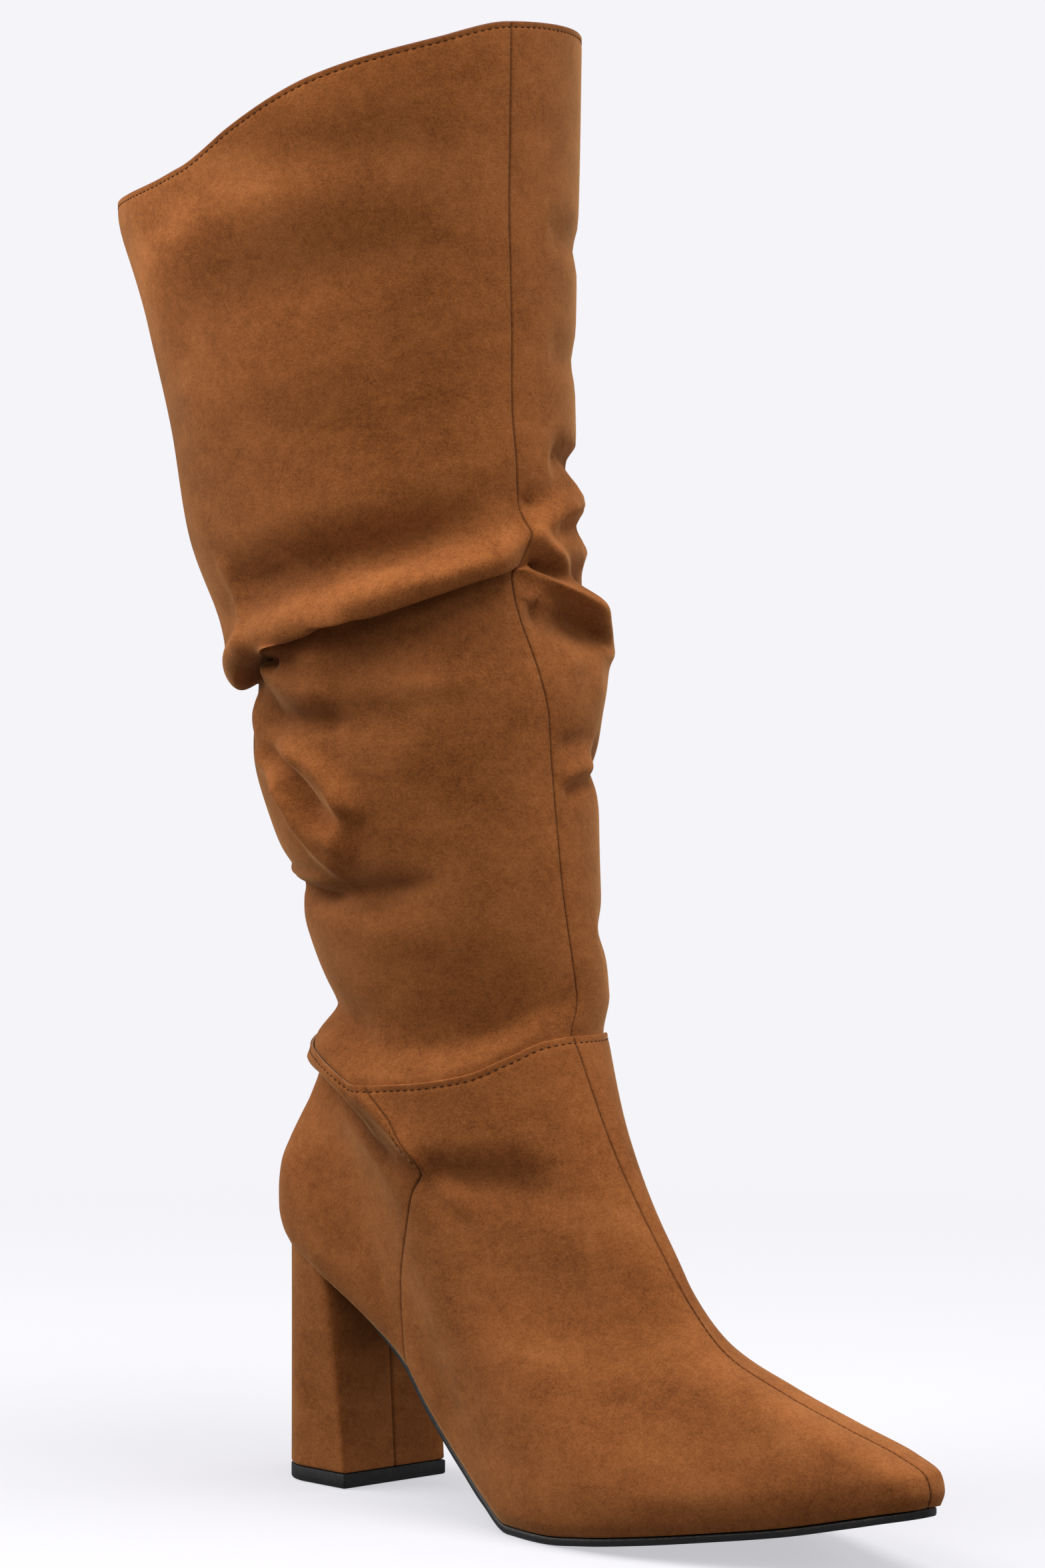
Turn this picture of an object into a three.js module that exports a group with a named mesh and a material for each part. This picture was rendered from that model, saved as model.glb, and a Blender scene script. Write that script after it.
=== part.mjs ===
// Slouch boot for the right foot: suede foot part with a pointed toe, a tall slouched shaft,
// a covered block heel with a rubber top lift, a thin rubber outsole and a leather insole.
// Millimetres. +X points to the toe, +Y to the inner side of the foot, +Z up.
// The origin lies on the floor under the middle of the heel's top lift.
import * as THREE from "three";

// Sole and last
const LENGTH = 249.5; // back of the heel seat to the tip of the toe
const SEAT_BACK = -16; // x of the back of the heel seat
const BALL_WIDTH = 75; // across the ball of the foot
const SEAT_RISE = 71.7; // rise of the back of the seat above the ball
const TOE_SPRING = 17.2; // rise of the tip of the toe above the ball
const SOLE = 2.3; // thickness of the outsole
const INSOLE = 2; // thickness of the insole
const GAP = 0.3; // clearance between pieces that touch

// Heel
const BREAST = 15.6; // x of the front face of the heel, at the seat
const LIFT_BACK = -17.2; // x of the back of the top lift
const LIFT_FRONT = 19.4; // x of the front of the top lift
const LIFT_WIDTH = 41; // width of the top lift
const LIFT = 4.3; // thickness of the top lift
const LIFT_ROUND = 18; // length of the rounded back of the top lift
const HEEL_INSET = 0.6; // step in from the edge of the seat to the side of the heel
const HEEL_FLARE = 1.7; // how late the heel widens on its way up, as a power

// Upper
const WALL = 1.8; // suede and lining
const ANKLE_HEIGHT = 138; // floor to the front of the ankle seam
const ANKLE_CENTRE = 47.2; // x of the middle of the ankle seam
const ANKLE_LENGTH = 101; // along the foot at the ankle seam
const ANKLE_WIDTH = 77; // across the foot at the ankle seam
const ANKLE_DIP = 16; // how far the ankle seam dips beside the ankle bone
const TUCK = 8; // how far the shaft reaches down inside the foot part
const TUCK_GAP = 0.7; // clearance between the two there
const DIP_START = 0.45; // share of the foot part's height above which its rings dip
const SOLE_REACH = 0.9; // share of its height up to which its rings follow the sole
const SOLE_FADE = 1.3; // how fast they leave the sole's line, as a power

// Shaft
const BOOT_HEIGHT = 437; // floor to the front of the collar
const COLLAR_LENGTH = 160; // along the foot at the collar
const COLLAR_WIDTH = 127; // across the foot at the collar
const COLLAR_DROP = 49; // how far the collar falls from front to back
const LEAN = 57.5; // how far the shaft's middle leans back from ankle to collar
const SIDE_LEAN = 6.5; // how far it leans to the inner side
const ROLL = 12; // depth and width of the big roll
const FOLD = 10; // depth and width of a full fold below and above it
const FOLD_ENDS = 0.25; // share of a fold's length over which each end fades
const SHAFT_GIRTH = 330; // girth of the slouched part, along which fold angles are laid out
const FREE = 1.2; // height over which the shaft leaves the ankle's shape, as a share of FOLD

// The big roll's crown and the valley above it, as shares of ROLL above the middle of the roll
const CROWN_UP = 0.95;
const CROWN_WIDTH = 0.3;
const CROWN = 0.4; // height of the crown as a share of the valley's depth
const VALLEY_UP = 1.35;
const VALLEY_BELOW = 0.28; // width of the valley's lower side
const VALLEY_ABOVE = 0.85; // width of its upper side

const SUEDE = { color: 0x9a5f30, roughness: 0.95, metalness: 0 };
const HEEL_SUEDE = { color: 0x8f572b, roughness: 0.95, metalness: 0 };
const LINING = { color: 0xb98a5e, roughness: 0.8, metalness: 0 };
const RUBBER = { color: 0x1c1a1a, roughness: 0.55, metalness: 0 };

// Rows of a table whose columns are named once
const named = (names, rows) =>
  rows.map((row) => Object.fromEntries(names.split(" ").map((name, i) => [name, row[i]])));

// Rows along the sole. share: of LENGTH from the back. lateral, medial: half widths as shares
// of half the ball's width. seat, spring: rise as shares of SEAT_RISE and TOE_SPRING.
const SOLE_ROWS = [
  { share: 0.0, lateral: 0.0, medial: 0.0, seat: 1.0, spring: 0 },
  { share: 0.03, lateral: 0.49, medial: 0.44, seat: 0.98, spring: 0 },
  { share: 0.08, lateral: 0.65, medial: 0.62, seat: 0.93, spring: 0 },
  { share: 0.128, lateral: 0.68, medial: 0.66, seat: 0.85, spring: 0 },
  { share: 0.2, lateral: 0.65, medial: 0.59, seat: 0.706, spring: 0 },
  { share: 0.259, lateral: 0.64, medial: 0.53, seat: 0.57, spring: 0 },
  { share: 0.316, lateral: 0.68, medial: 0.53, seat: 0.38, spring: 0 },
  { share: 0.38, lateral: 0.735, medial: 0.63, seat: 0.195, spring: 0 },
  { share: 0.434, lateral: 0.825, medial: 0.8, seat: 0.08, spring: 0 },
  { share: 0.49, lateral: 0.925, medial: 0.93, seat: 0, spring: 0 },
  { share: 0.56, lateral: 0.995, medial: 0.99, seat: 0, spring: 0 },
  { share: 0.62, lateral: 0.975, medial: 1.01, seat: 0, spring: 0.07 },
  { share: 0.69, lateral: 0.885, medial: 0.96, seat: 0, spring: 0.19 },
  { share: 0.77, lateral: 0.7, medial: 0.8, seat: 0, spring: 0.35 },
  { share: 0.85, lateral: 0.5, medial: 0.58, seat: 0, spring: 0.53 },
  { share: 0.93, lateral: 0.325, medial: 0.365, seat: 0, spring: 0.78 },
  { share: 0.975, lateral: 0.245, medial: 0.26, seat: 0, spring: 0.93 },
  { share: 0.992, lateral: 0.18, medial: 0.19, seat: 0, spring: 0.98 },
  { share: 1.0, lateral: 0.0, medial: 0.0, seat: 0, spring: 1.0 },
];

// Rings of the foot part from the sole to the ankle seam. frontX, backX: shares of LENGTH from
// the back of the seat. frontZ, backZ: shares of the way up to the ankle. rear, middle, fore:
// fullness beside the heel, the waist and the toe. inner: fullness of the inner side. tube: how
// far the ring has become the ankle's oval.
const FOOT_ROWS = named("up frontX frontZ backX backZ rear middle fore inner tube", [
  [0, 1.0, 0, 0, 0, 1.0, 1.0, 1.0, 1.0, 0],
  [0.05, 1.004, 0.03, -0.009, 0.074, 1.06, 1.05, 1.08, 1.0, 0.01],
  [0.1, 0.998, 0.069, -0.012, 0.157, 1.1, 1.05, 1.12, 1.0, 0.03],
  [0.17, 0.962, 0.105, -0.011, 0.256, 1.11, 1.03, 1.12, 1.0, 0.06],
  [0.26, 0.885, 0.15, -0.006, 0.371, 1.1, 1.0, 1.09, 0.97, 0.12],
  [0.37, 0.792, 0.208, 0.007, 0.486, 1.06, 0.98, 1.01, 0.91, 0.25],
  [0.49, 0.704, 0.278, 0.021, 0.594, 1.0, 0.97, 0.89, 0.84, 0.42],
  [0.61, 0.647, 0.38, 0.033, 0.7, 0.93, 0.97, 0.82, 0.78, 0.6],
  [0.73, 0.593, 0.519, 0.042, 0.807, 0.9, 0.98, 0.82, 0.76, 0.78],
  [0.87, 0.522, 0.733, 0.047, 0.903, 0.91, 1.0, 0.88, 0.86, 0.93],
  [1, 0.4556, 1, 0.0509, 1, 0.96, 1.0, 1.0, 1.0, 1],
]);

// Sections of the shaft. up: share of the height from ankle to collar. girth, width: how far the
// oval has grown from the ankle's length and width to the collar's. lean, side: shares of LEAN
// and SIDE_LEAN.
const SHAFT_ROWS = [
  { up: -0.15, girth: -0.06, width: -0.05, lean: -0.02, side: 0.7 },
  { up: 0.0, girth: -0.06, width: -0.04, lean: -0.02, side: 0.8 },
  { up: 0.05, girth: 0.0, width: 0.0, lean: 0.02, side: 0.6 },
  { up: 0.15, girth: 0.13, width: 0.14, lean: 0.14, side: 0.3 },
  { up: 0.26, girth: 0.32, width: 0.33, lean: 0.32, side: 0.55 },
  { up: 0.34, girth: 0.42, width: 0.44, lean: 0.43, side: 1.0 },
  { up: 0.42, girth: 0.51, width: 0.5, lean: 0.59, side: 1.15 },
  { up: 0.5, girth: 0.6, width: 0.6, lean: 0.72, side: 1.0 },
  { up: 0.61, girth: 0.7, width: 0.66, lean: 0.82, side: 1.1 },
  { up: 0.72, girth: 0.84, width: 0.79, lean: 0.91, side: 1.05 },
  { up: 0.83, girth: 0.97, width: 0.95, lean: 1.0, side: 1.1 },
  { up: 1.0, girth: 1.0, width: 1.0, lean: 1.01, side: 1.15 },
];

// Height of the collar around the shaft, as a share of COLLAR_DROP above its lowest point
const COLLAR_ROWS = [
  { angle: 0, rise: 0.95 },
  { angle: 42, rise: 1.0 },
  { angle: 90, rise: 0.75 },
  { angle: 135, rise: 0.33 },
  { angle: 180, rise: 0.07 },
  { angle: 240, rise: 0.05 },
  { angle: 266, rise: 0.14 },
  { angle: 282, rise: 0.34 },
  { angle: 306, rise: 0.61 },
  { angle: 338, rise: 0.82 },
];

// Dip of the ankle seam around the foot part, as a share of ANKLE_DIP
const ANKLE_ROWS = [
  { angle: -180, dip: 0.1 },
  { angle: -122, dip: 0.42 },
  { angle: -106, dip: 0.66 },
  { angle: -92, dip: 0.93 },
  { angle: -72, dip: 0.87 },
  { angle: -48, dip: 0.68 },
  { angle: -32, dip: 0.37 },
  { angle: -15, dip: 0.07 },
  { angle: 0, dip: 0 },
  { angle: 40, dip: 0.03 },
  { angle: 72, dip: 0.42 },
  { angle: 98, dip: 0.68 },
  { angle: 125, dip: 0.5 },
];

// The big roll where the shaft has sunk over itself. angle: from the front seam, with the outer
// side of the foot negative. up: its height as a share of the shaft's. The rest are shares of
// ROLL: ridge standing out, lean of its upper edge over its lower one, tuck, how far the upper
// edge hangs down, and valley, the depth of the dip above it.
const ROLL_ROWS = [
  { angle: -180, up: 0.39, ridge: 0.0, lean: 0.12, tuck: 0.15, valley: 0 },
  { angle: -135, up: 0.342, ridge: -0.35, lean: 0.2, tuck: 0.6, valley: 0.12 },
  { angle: -110, up: 0.368, ridge: -0.1, lean: 0.3, tuck: 0.72, valley: 0.26 },
  { angle: -58, up: 0.41, ridge: 0.1, lean: 0.36, tuck: 0.7, valley: 0.26 },
  { angle: -16, up: 0.45, ridge: 0.05, lean: 0.3, tuck: 0.55, valley: 0.22 },
  { angle: -3, up: 0.457, ridge: -0.25, lean: 0.15, tuck: 0.3, valley: 0.25 },
  { angle: 12, up: 0.432, ridge: 0.08, lean: 0.25, tuck: 0.24, valley: 0.2 },
  { angle: 42, up: 0.375, ridge: 0.46, lean: 0.26, tuck: 0.2, valley: 0.08 },
  { angle: 84, up: 0.355, ridge: 0.14, lean: 0.15, tuck: 0.15, valley: 0.05 },
  { angle: 130, up: 0.37, ridge: 0.0, lean: 0.12, tuck: 0.15, valley: 0 },
];

// Smaller folds of the shaft. Each runs through three places: an angle and a share of the
// shaft's height. The rest are shares of FOLD, as for the roll, with its width as well.
const FOLDS = [
  { at: [[-4, 0.49], [22, 0.51], [76, 0.53]], width: 0.6, ridge: 0.18, lean: 0.1, tuck: 0 },
  { at: [[8, 0.572], [32, 0.563], [80, 0.557]], width: 0.5, ridge: -0.3, lean: 0.05, tuck: 0 },
  { at: [[-72, 0.325], [-96, 0.345], [-118, 0.325]], width: 0.6, ridge: 0.3, lean: 0.1, tuck: 0.1 },
  { at: [[-112, 0.262], [-98, 0.2], [-80, 0.17]], width: 0.6, ridge: 0.35, lean: 0.1, tuck: 0 },
  { at: [[-104, 0.29], [-86, 0.24], [-76, 0.2]], width: 0.55, ridge: 0.3, lean: 0.1, tuck: 0 },
  { at: [[-160, 0.16], [-112, 0.137], [-46, 0.142]], width: 0.7, ridge: -0.45, lean: 0, tuck: 0 },
  { at: [[-170, 0.03], [-128, 0.02], [-88, 0.0]], width: 0.9, ridge: -0.2, lean: 0, tuck: 0 },
  { at: [[15, 0.36], [46, 0.335], [85, 0.32]], width: 0.8, ridge: 0.25, lean: 0, tuck: 0 },
  { at: [[20, 0.29], [48, 0.245], [80, 0.23]], width: 0.6, ridge: -0.3, lean: 0, tuck: 0 },
  { at: [[20, 0.11], [48, 0.097], [85, 0.1]], width: 0.6, ridge: -0.18, lean: 0, tuck: 0 },
];

// Folds of the foot part, with the share of its height from sole to ankle in place of the
// shaft's
const FOOT_FOLDS = [
  { at: [[-172, 0.78], [-104, 0.93], [-64, 0.66]], width: 0.45, ridge: 0.04, lean: 0.11, tuck: 0 },
];

// Facets
const SIDES = 56; // around upper and shaft
const PLATE_STRIPS = 6; // across outsole and insole
const NEAR = 0.002; // closest two rows of a plate may lie, as a share of LENGTH
const HEEL_LEVELS = 6; // from top lift to seat
const HEEL_SIDES = 26; // around the heel from one corner of the breast to the other
const CALF_ROWS = 8; // shaft rows below the big roll
const LEG_ROWS = 6; // shaft rows above it
// Rows over the big roll, as shares of ROLL above its middle
const ROLL_STEPS = [-1.6, -1.1, -0.75, -0.45, -0.15, 0.15, 0.45, 0.75, 1, 1.2, 1.4, 1.75, 2.3];
const TUCK_ROWS = 2; // foot rows beside the tucked end of the shaft
const FOLD_STEPS = 12; // straight pieces of a fold's line

const INSOLE_INSET = WALL + 5 * GAP;
const half = BALL_WIDTH / 2;
const shaftHeight = BOOT_HEIGHT - ANKLE_HEIGHT;
const degrees = Math.PI / 180;

const mix = (from, to, share) => from + (to - from) * share;
const clamp = (value, low, high) => Math.min(high, Math.max(low, value));

function ease(from, to, value) {
  const share = clamp((value - from) / (to - from), 0, 1);
  return share * share * (3 - 2 * share);
}

// Smooth curve through the rows of a table that never overshoots them
function curve(rows, column, key, place = (value) => value) {
  const xs = rows.map((row) => place(row[column]));
  const ys = rows.map((row) => row[key]);
  const steps = xs.slice(1).map((x, i) => x - xs[i]);
  const slopes = steps.map((step, i) => (ys[i + 1] - ys[i]) / step);
  const turns = xs.map((_, i) => {
    if (i === 0) return slopes[0];
    if (i === xs.length - 1) return slopes[i - 1];
    if (slopes[i - 1] * slopes[i] <= 0) return 0;
    const before = 2 * steps[i] + steps[i - 1];
    const after = steps[i] + 2 * steps[i - 1];
    return (before + after) / (before / slopes[i - 1] + after / slopes[i]);
  });
  return (value) => {
    const x = clamp(place(value), xs[0], xs.at(-1));
    const i = Math.min(xs.findLastIndex((low) => low <= x), xs.length - 2);
    const t = (x - xs[i]) / steps[i];
    const blend = t * t * (3 - 2 * t);
    const start = t * (1 - t) * (1 - t) * steps[i] * turns[i];
    const end = t * t * (t - 1) * steps[i] * turns[i + 1];
    return mix(ys[i], ys[i + 1], blend) + start + end;
  };
}

// Angle around the sole that belongs to a share of its length: 180 degrees at the back, 0 at
// the toe, so that rounded ends keep their shape
const aroundSole = (share) => Math.acos(1 - 2 * clamp(share, 0, 1));
const lateralWidth = curve(SOLE_ROWS, "share", "lateral", aroundSole);
const medialWidth = curve(SOLE_ROWS, "share", "medial", aroundSole);
const seatRise = curve(SOLE_ROWS, "share", "seat");
const toeRise = curve(SOLE_ROWS, "share", "spring");

const soleX = (share) => SEAT_BACK + LENGTH * share;
const soleShare = (x) => (x - SEAT_BACK) / LENGTH;
const soleWidth = (share, inner) => half * (inner ? medialWidth(share) : lateralWidth(share));

// Height of the edge where the upper meets the sole
function featherZ(share) {
  return SOLE + GAP + SEAT_RISE * seatRise(share) + TOE_SPRING * toeRise(share);
}

// Distance from a fold's line, positive above it, and the share along it
function nearFold(fold, angle, height, girth, rise) {
  const centre = fold.at[1][0];
  const away = THREE.MathUtils.euclideanModulo(centre - angle + 180, 360) - 180;
  const spot = ([degree, share]) =>
    new THREE.Vector2((away + degree - centre) * (girth / 360), (share - height) * rise);
  const [first, middle, last] = fold.at.map(spot);
  const bend = middle.clone().multiplyScalar(2).sub(first.clone().add(last).multiplyScalar(0.5));
  const line = new THREE.QuadraticBezierCurve(first, bend, last);
  const chord = last.clone().sub(first);
  const up = new THREE.Vector2(-chord.y, chord.x).multiplyScalar(Math.sign(chord.x) || 1);
  const places = line.getPoints(FOLD_STEPS);
  let best = { distance: Infinity };
  for (let step = 0; step < FOLD_STEPS; step += 1) {
    const way = places[step + 1].clone().sub(places[step]);
    const share = clamp(-places[step].dot(way) / way.lengthSq(), 0, 1);
    const place = places[step].clone().addScaledVector(way, share);
    const distance = place.length();
    if (distance < best.distance) {
      best = { distance, along: (step + share) / FOLD_STEPS, above: place.dot(up) <= 0 };
    }
  }
  return { along: best.along, across: best.above ? best.distance : -best.distance };
}

// How far a fold with the given shape pushes a place outwards and downwards. across: distance
// above the middle of the fold, as a share of its width.
function foldPush({ ridge, lean, tuck }, across) {
  const bell = Math.exp(-across * across);
  const swing = Math.SQRT2 * Math.exp(0.5) * across * bell;
  return { outward: ridge * bell + lean * swing, down: tuck * swing };
}

// How far the big roll pushes a place: its fold, its crown and the valley above it
function rollPush(shape, across) {
  const { outward, down } = foldPush(shape, across);
  const over = (across - VALLEY_UP) / (across < VALLEY_UP ? VALLEY_BELOW : VALLEY_ABOVE);
  const crown = (across - CROWN_UP) / CROWN_WIDTH;
  const dip = CROWN * Math.exp(-crown * crown) - Math.exp(-over * over);
  return { outward: outward + shape.valley * dip, down };
}

// How far the folds of a table push a place
function foldShift(folds, angle, height, girth, rise) {
  let outward = 0;
  let down = 0;
  for (const fold of folds) {
    const near = nearFold(fold, angle, height, girth, rise);
    const taper = ease(0, FOLD_ENDS, near.along) * ease(0, FOLD_ENDS, 1 - near.along);
    const push = foldPush(fold, near.across / (fold.width * FOLD));
    outward += taper * FOLD * push.outward;
    down += taper * FOLD * push.down;
  }
  return { outward, down };
}

// Curve through the rows of a table that goes all the way around
function loopCurve(rows, key) {
  const turns = [-360, 0, 360].flatMap((turn) =>
    rows.map((row) => ({ ...row, angle: row.angle + turn })),
  );
  return curve(turns, "angle", key);
}

const footCurve = Object.fromEntries(
  Object.keys(FOOT_ROWS[0]).slice(1).map((key) => [key, curve(FOOT_ROWS, "up", key)]),
);
const ankleDip = loopCurve(ANKLE_ROWS, "dip");

// Outside of the foot part. angle: degrees from the front, outer side negative, -180 to 180.
function footPoint(angle, up) {
  const row = Object.fromEntries(Object.entries(footCurve).map(([key, at]) => [key, at(up)]));
  const turn = angle * degrees;
  const share = (1 + Math.cos(turn)) / 2;
  const inner = angle > 0;
  const oval = (ANKLE_WIDTH / 2) * Math.abs(Math.sin(turn));
  const fullness =
    share < 0.5
      ? mix(row.rear, row.middle, ease(0.1, 0.5, share))
      : mix(row.middle, row.fore, ease(0.5, 0.85, share));
  const side = mix(soleWidth(share, inner), oval, row.tube) * fullness * (inner ? row.inner : 1);
  const straight = mix(featherZ(0), featherZ(1), share);
  const follow = (1 - ease(0, SOLE_REACH, up)) ** SOLE_FADE;
  const shift = foldShift(FOOT_FOLDS, angle, up, SHAFT_GIRTH, ANKLE_HEIGHT - SEAT_RISE);
  const back = mix(featherZ(0), ANKLE_HEIGHT, row.backZ);
  const front = mix(featherZ(1), ANKLE_HEIGHT, row.frontZ);
  const dip = ease(DIP_START, 1, up) * ANKLE_DIP * ankleDip(angle);
  return new THREE.Vector3(
    SEAT_BACK + LENGTH * mix(row.backX, row.frontX, share) + shift.outward * Math.cos(turn),
    (inner ? side : -side) + shift.outward * Math.sin(turn),
    mix(back, front, share) + follow * (featherZ(share) - straight) - dip,
  );
}

const shaftCurve = Object.fromEntries(
  ["girth", "width", "lean", "side"].map((key) => [key, curve(SHAFT_ROWS, "up", key)]),
);

const rollCurve = Object.fromEntries(
  Object.keys(ROLL_ROWS[0]).slice(1).map((key) => [key, loopCurve(ROLL_ROWS, key)]),
);
const collarRise = loopCurve(COLLAR_ROWS, "rise");
const rollZ = (angle) => ANKLE_HEIGHT + shaftHeight * rollCurve.up(angle);
const collarZ = (angle) => BOOT_HEIGHT - COLLAR_DROP * (1 - collarRise(angle));

// The shaft's oval at a height, before its folds
function ovalPoint(angle, z) {
  const up = (z - ANKLE_HEIGHT) / shaftHeight;
  const turn = angle * degrees;
  const length = mix(ANKLE_LENGTH / 2 - WALL, COLLAR_LENGTH / 2, shaftCurve.girth(up));
  const width = mix(ANKLE_WIDTH / 2 - WALL, COLLAR_WIDTH / 2, shaftCurve.width(up));
  return new THREE.Vector3(
    ANKLE_CENTRE - LEAN * shaftCurve.lean(up) + length * Math.cos(turn),
    SIDE_LEAN * shaftCurve.side(up) + width * Math.sin(turn),
    z,
  );
}

// Outside of the shaft. start: where it leaves the foot part. z: height before the folds.
function shaftPoint(angle, start, z) {
  const up = (z - ANKLE_HEIGHT) / shaftHeight;
  const shift = foldShift(FOLDS, angle, up, SHAFT_GIRTH, shaftHeight);
  const shape = Object.fromEntries(Object.entries(rollCurve).map(([key, at]) => [key, at(angle)]));
  const roll = rollPush(shape, (z - rollZ(angle)) / ROLL);
  const outward = shift.outward + ROLL * roll.outward;
  const down = shift.down + ROLL * roll.down;
  const free = ease(0, FREE * FOLD, z - start.z);
  const turn = angle * degrees;
  const held = start.clone().sub(ovalPoint(angle, start.z)).multiplyScalar(1 - free);
  return ovalPoint(angle, z)
    .add(held)
    .add(new THREE.Vector3(Math.cos(turn), Math.sin(turn), 0).multiplyScalar(free * outward))
    .add(new THREE.Vector3(0, 0, -free * down));
}

// Outward direction at each point of a stack of closed rings
function ringNormals(rings) {
  return rings.map((ring, level) =>
    ring.map((_, i) => {
      const before = ring[(i + ring.length - 1) % ring.length];
      const after = ring[(i + 1) % ring.length];
      const below = rings[Math.max(level - 1, 0)][i];
      const above = rings[Math.min(level + 1, rings.length - 1)][i];
      return after.clone().sub(before).cross(above.clone().sub(below)).normalize();
    }),
  );
}

// Rings moved inwards by a distance, with the first and last kept at their own height
function insetRings(rings, distance) {
  const normals = ringNormals(rings);
  return rings.map((ring, level) =>
    ring.map((point, i) => {
      const normal = normals[level][i];
      if (level === 0 || level === rings.length - 1) normal.setZ(0).normalize();
      return point.clone().addScaledVector(normal, -distance);
    }),
  );
}

// Closed body from a loop of rings, where the last ring joins the first
function ringBody(rings) {
  const sides = rings[0].length;
  const index = [];
  rings.forEach((_, level) => {
    const next = (level + 1) % rings.length;
    for (let i = 0; i < sides; i += 1) {
      const j = (i + 1) % sides;
      const [a, b] = [level * sides + i, level * sides + j];
      const [c, d] = [next * sides + i, next * sides + j];
      index.push(a, b, d, a, d, c);
    }
  });
  return body(rings.flat(), index);
}

// Closed body from points and triangles. Points in the same place become one, and triangles
// that this leaves without area go.
function body(points, index) {
  const places = new Map();
  const kept = [];
  const same = points.map((point) => {
    const name = point.toArray().map((value) => value.toFixed(4)).join(" ");
    if (!places.has(name)) {
      places.set(name, kept.length);
      kept.push(point);
    }
    return places.get(name);
  });
  const triangles = [];
  for (let i = 0; i < index.length; i += 3) {
    const [a, b, c] = index.slice(i, i + 3).map((corner) => same[corner]);
    if (a !== b && b !== c && c !== a) triangles.push(a, b, c);
  }
  const geometry = new THREE.BufferGeometry().setFromPoints(kept);
  geometry.setIndex(triangles);
  geometry.computeVertexNormals();
  return geometry;
}

function piece(name, geometry, finish) {
  const mesh = new THREE.Mesh(geometry, new THREE.MeshStandardMaterial(finish));
  mesh.name = name;
  return mesh;
}

const angles = Array.from({ length: SIDES }, (_, i) => (360 * i) / SIDES - 180);

// Shares of the sole's length below the upper's points, which outsole and insole use as well
const stations = angles.slice(0, SIDES / 2 + 1).map((angle) => (1 + Math.cos(angle * degrees)) / 2);

// Share of the foot part's height that lies a distance below the ankle seam
function shareBelow(angle, drop) {
  const target = footPoint(angle, 1).z - drop;
  let [low, high] = [FOOT_ROWS.at(-3).up, 1];
  for (let step = 0; step < 20; step += 1) {
    const middle = (low + high) / 2;
    if (footPoint(angle, middle).z < target) low = middle;
    else high = middle;
  }
  return (low + high) / 2;
}

// Rings of the foot part: the table's lower ones, one between, and those beside the tucked shaft
function footRings() {
  const lower = FOOT_ROWS.map((row) => row.up).slice(0, -2);
  const tucked = angles.map((angle) => shareBelow(angle, TUCK));
  const between = tucked.map((share) => mix(lower.at(-1), share, 0.5));
  const seams = Array.from({ length: TUCK_ROWS }, (_, i) => {
    return angles.map((angle) => shareBelow(angle, TUCK * (1 - (i + 1) / TUCK_ROWS)));
  });
  const shares = [...lower.map((up) => angles.map(() => up)), between, tucked, ...seams];
  return shares.map((ring) => ring.map((up, i) => footPoint(angles[i], up)));
}

// Heights of the shaft's points above one angle: up to the roll, over it and on to the collar
function shaftHeights(angle, startZ) {
  const over = ROLL_STEPS.map((step) => rollZ(angle) + ROLL * step);
  const calf = Array.from({ length: CALF_ROWS }, (_, i) => mix(startZ, over[0], i / CALF_ROWS));
  const leg = Array.from({ length: LEG_ROWS }, (_, i) =>
    mix(over.at(-1), collarZ(angle), (i + 1) / LEG_ROWS),
  );
  return [...calf, ...over, ...leg];
}

function shaftRings(foot) {
  const tucked = insetRings(foot, WALL + TUCK_GAP).slice(-TUCK_ROWS - 1);
  const columns = angles.map((angle, i) => {
    const start = tucked.at(-1)[i];
    return shaftHeights(angle, start.z).map((z) => shaftPoint(angle, start, z));
  });
  const free = columns[0].map((_, level) => columns.map((column) => column[level]));
  return [...tucked.slice(0, -1), ...free];
}

// Hollow body with a wall of even thickness, open at both ends
function hollow(rings) {
  return ringBody([...rings, ...insetRings(rings, WALL).reverse()]);
}

// Plate that follows the sole. width: half width at a share of the sole's length, on the outer
// or inner side. bottom: height above the feather edge.
function plate(from, to, width, bottom, thickness) {
  const between = stations.filter((share) => share > from + NEAR && share < to - NEAR);
  const shares = [from, ...between, to];
  const points = [];
  const index = [];
  const columns = PLATE_STRIPS + 1;
  const spot = (share, column, side) => (side * shares.length + share) * columns + column;
  for (const rise of [bottom, bottom + thickness]) {
    for (const share of shares) {
      const [lateral, medial] = [width(share, false), width(share, true)];
      for (let column = 0; column < columns; column += 1) {
        const y = mix(-lateral, medial, column / PLATE_STRIPS);
        points.push(new THREE.Vector3(soleX(share), y, featherZ(share) + rise));
      }
    }
  }
  const quad = (a, b, c, d) => index.push(a, b, c, a, c, d);
  for (let i = 0; i < shares.length - 1; i += 1) {
    for (let c = 0; c < PLATE_STRIPS; c += 1) {
      quad(spot(i, c, 0), spot(i, c + 1, 0), spot(i + 1, c + 1, 0), spot(i + 1, c, 0));
      quad(spot(i, c, 1), spot(i + 1, c, 1), spot(i + 1, c + 1, 1), spot(i, c + 1, 1));
    }
    quad(spot(i, 0, 0), spot(i + 1, 0, 0), spot(i + 1, 0, 1), spot(i, 0, 1));
    const last = PLATE_STRIPS;
    quad(spot(i, last, 0), spot(i, last, 1), spot(i + 1, last, 1), spot(i + 1, last, 0));
  }
  for (let c = 0; c < PLATE_STRIPS; c += 1) {
    const end = shares.length - 1;
    quad(spot(0, c, 0), spot(0, c, 1), spot(0, c + 1, 1), spot(0, c + 1, 0));
    quad(spot(end, c, 0), spot(end, c + 1, 0), spot(end, c + 1, 1), spot(end, c, 1));
  }
  return body(points, index);
}

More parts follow.
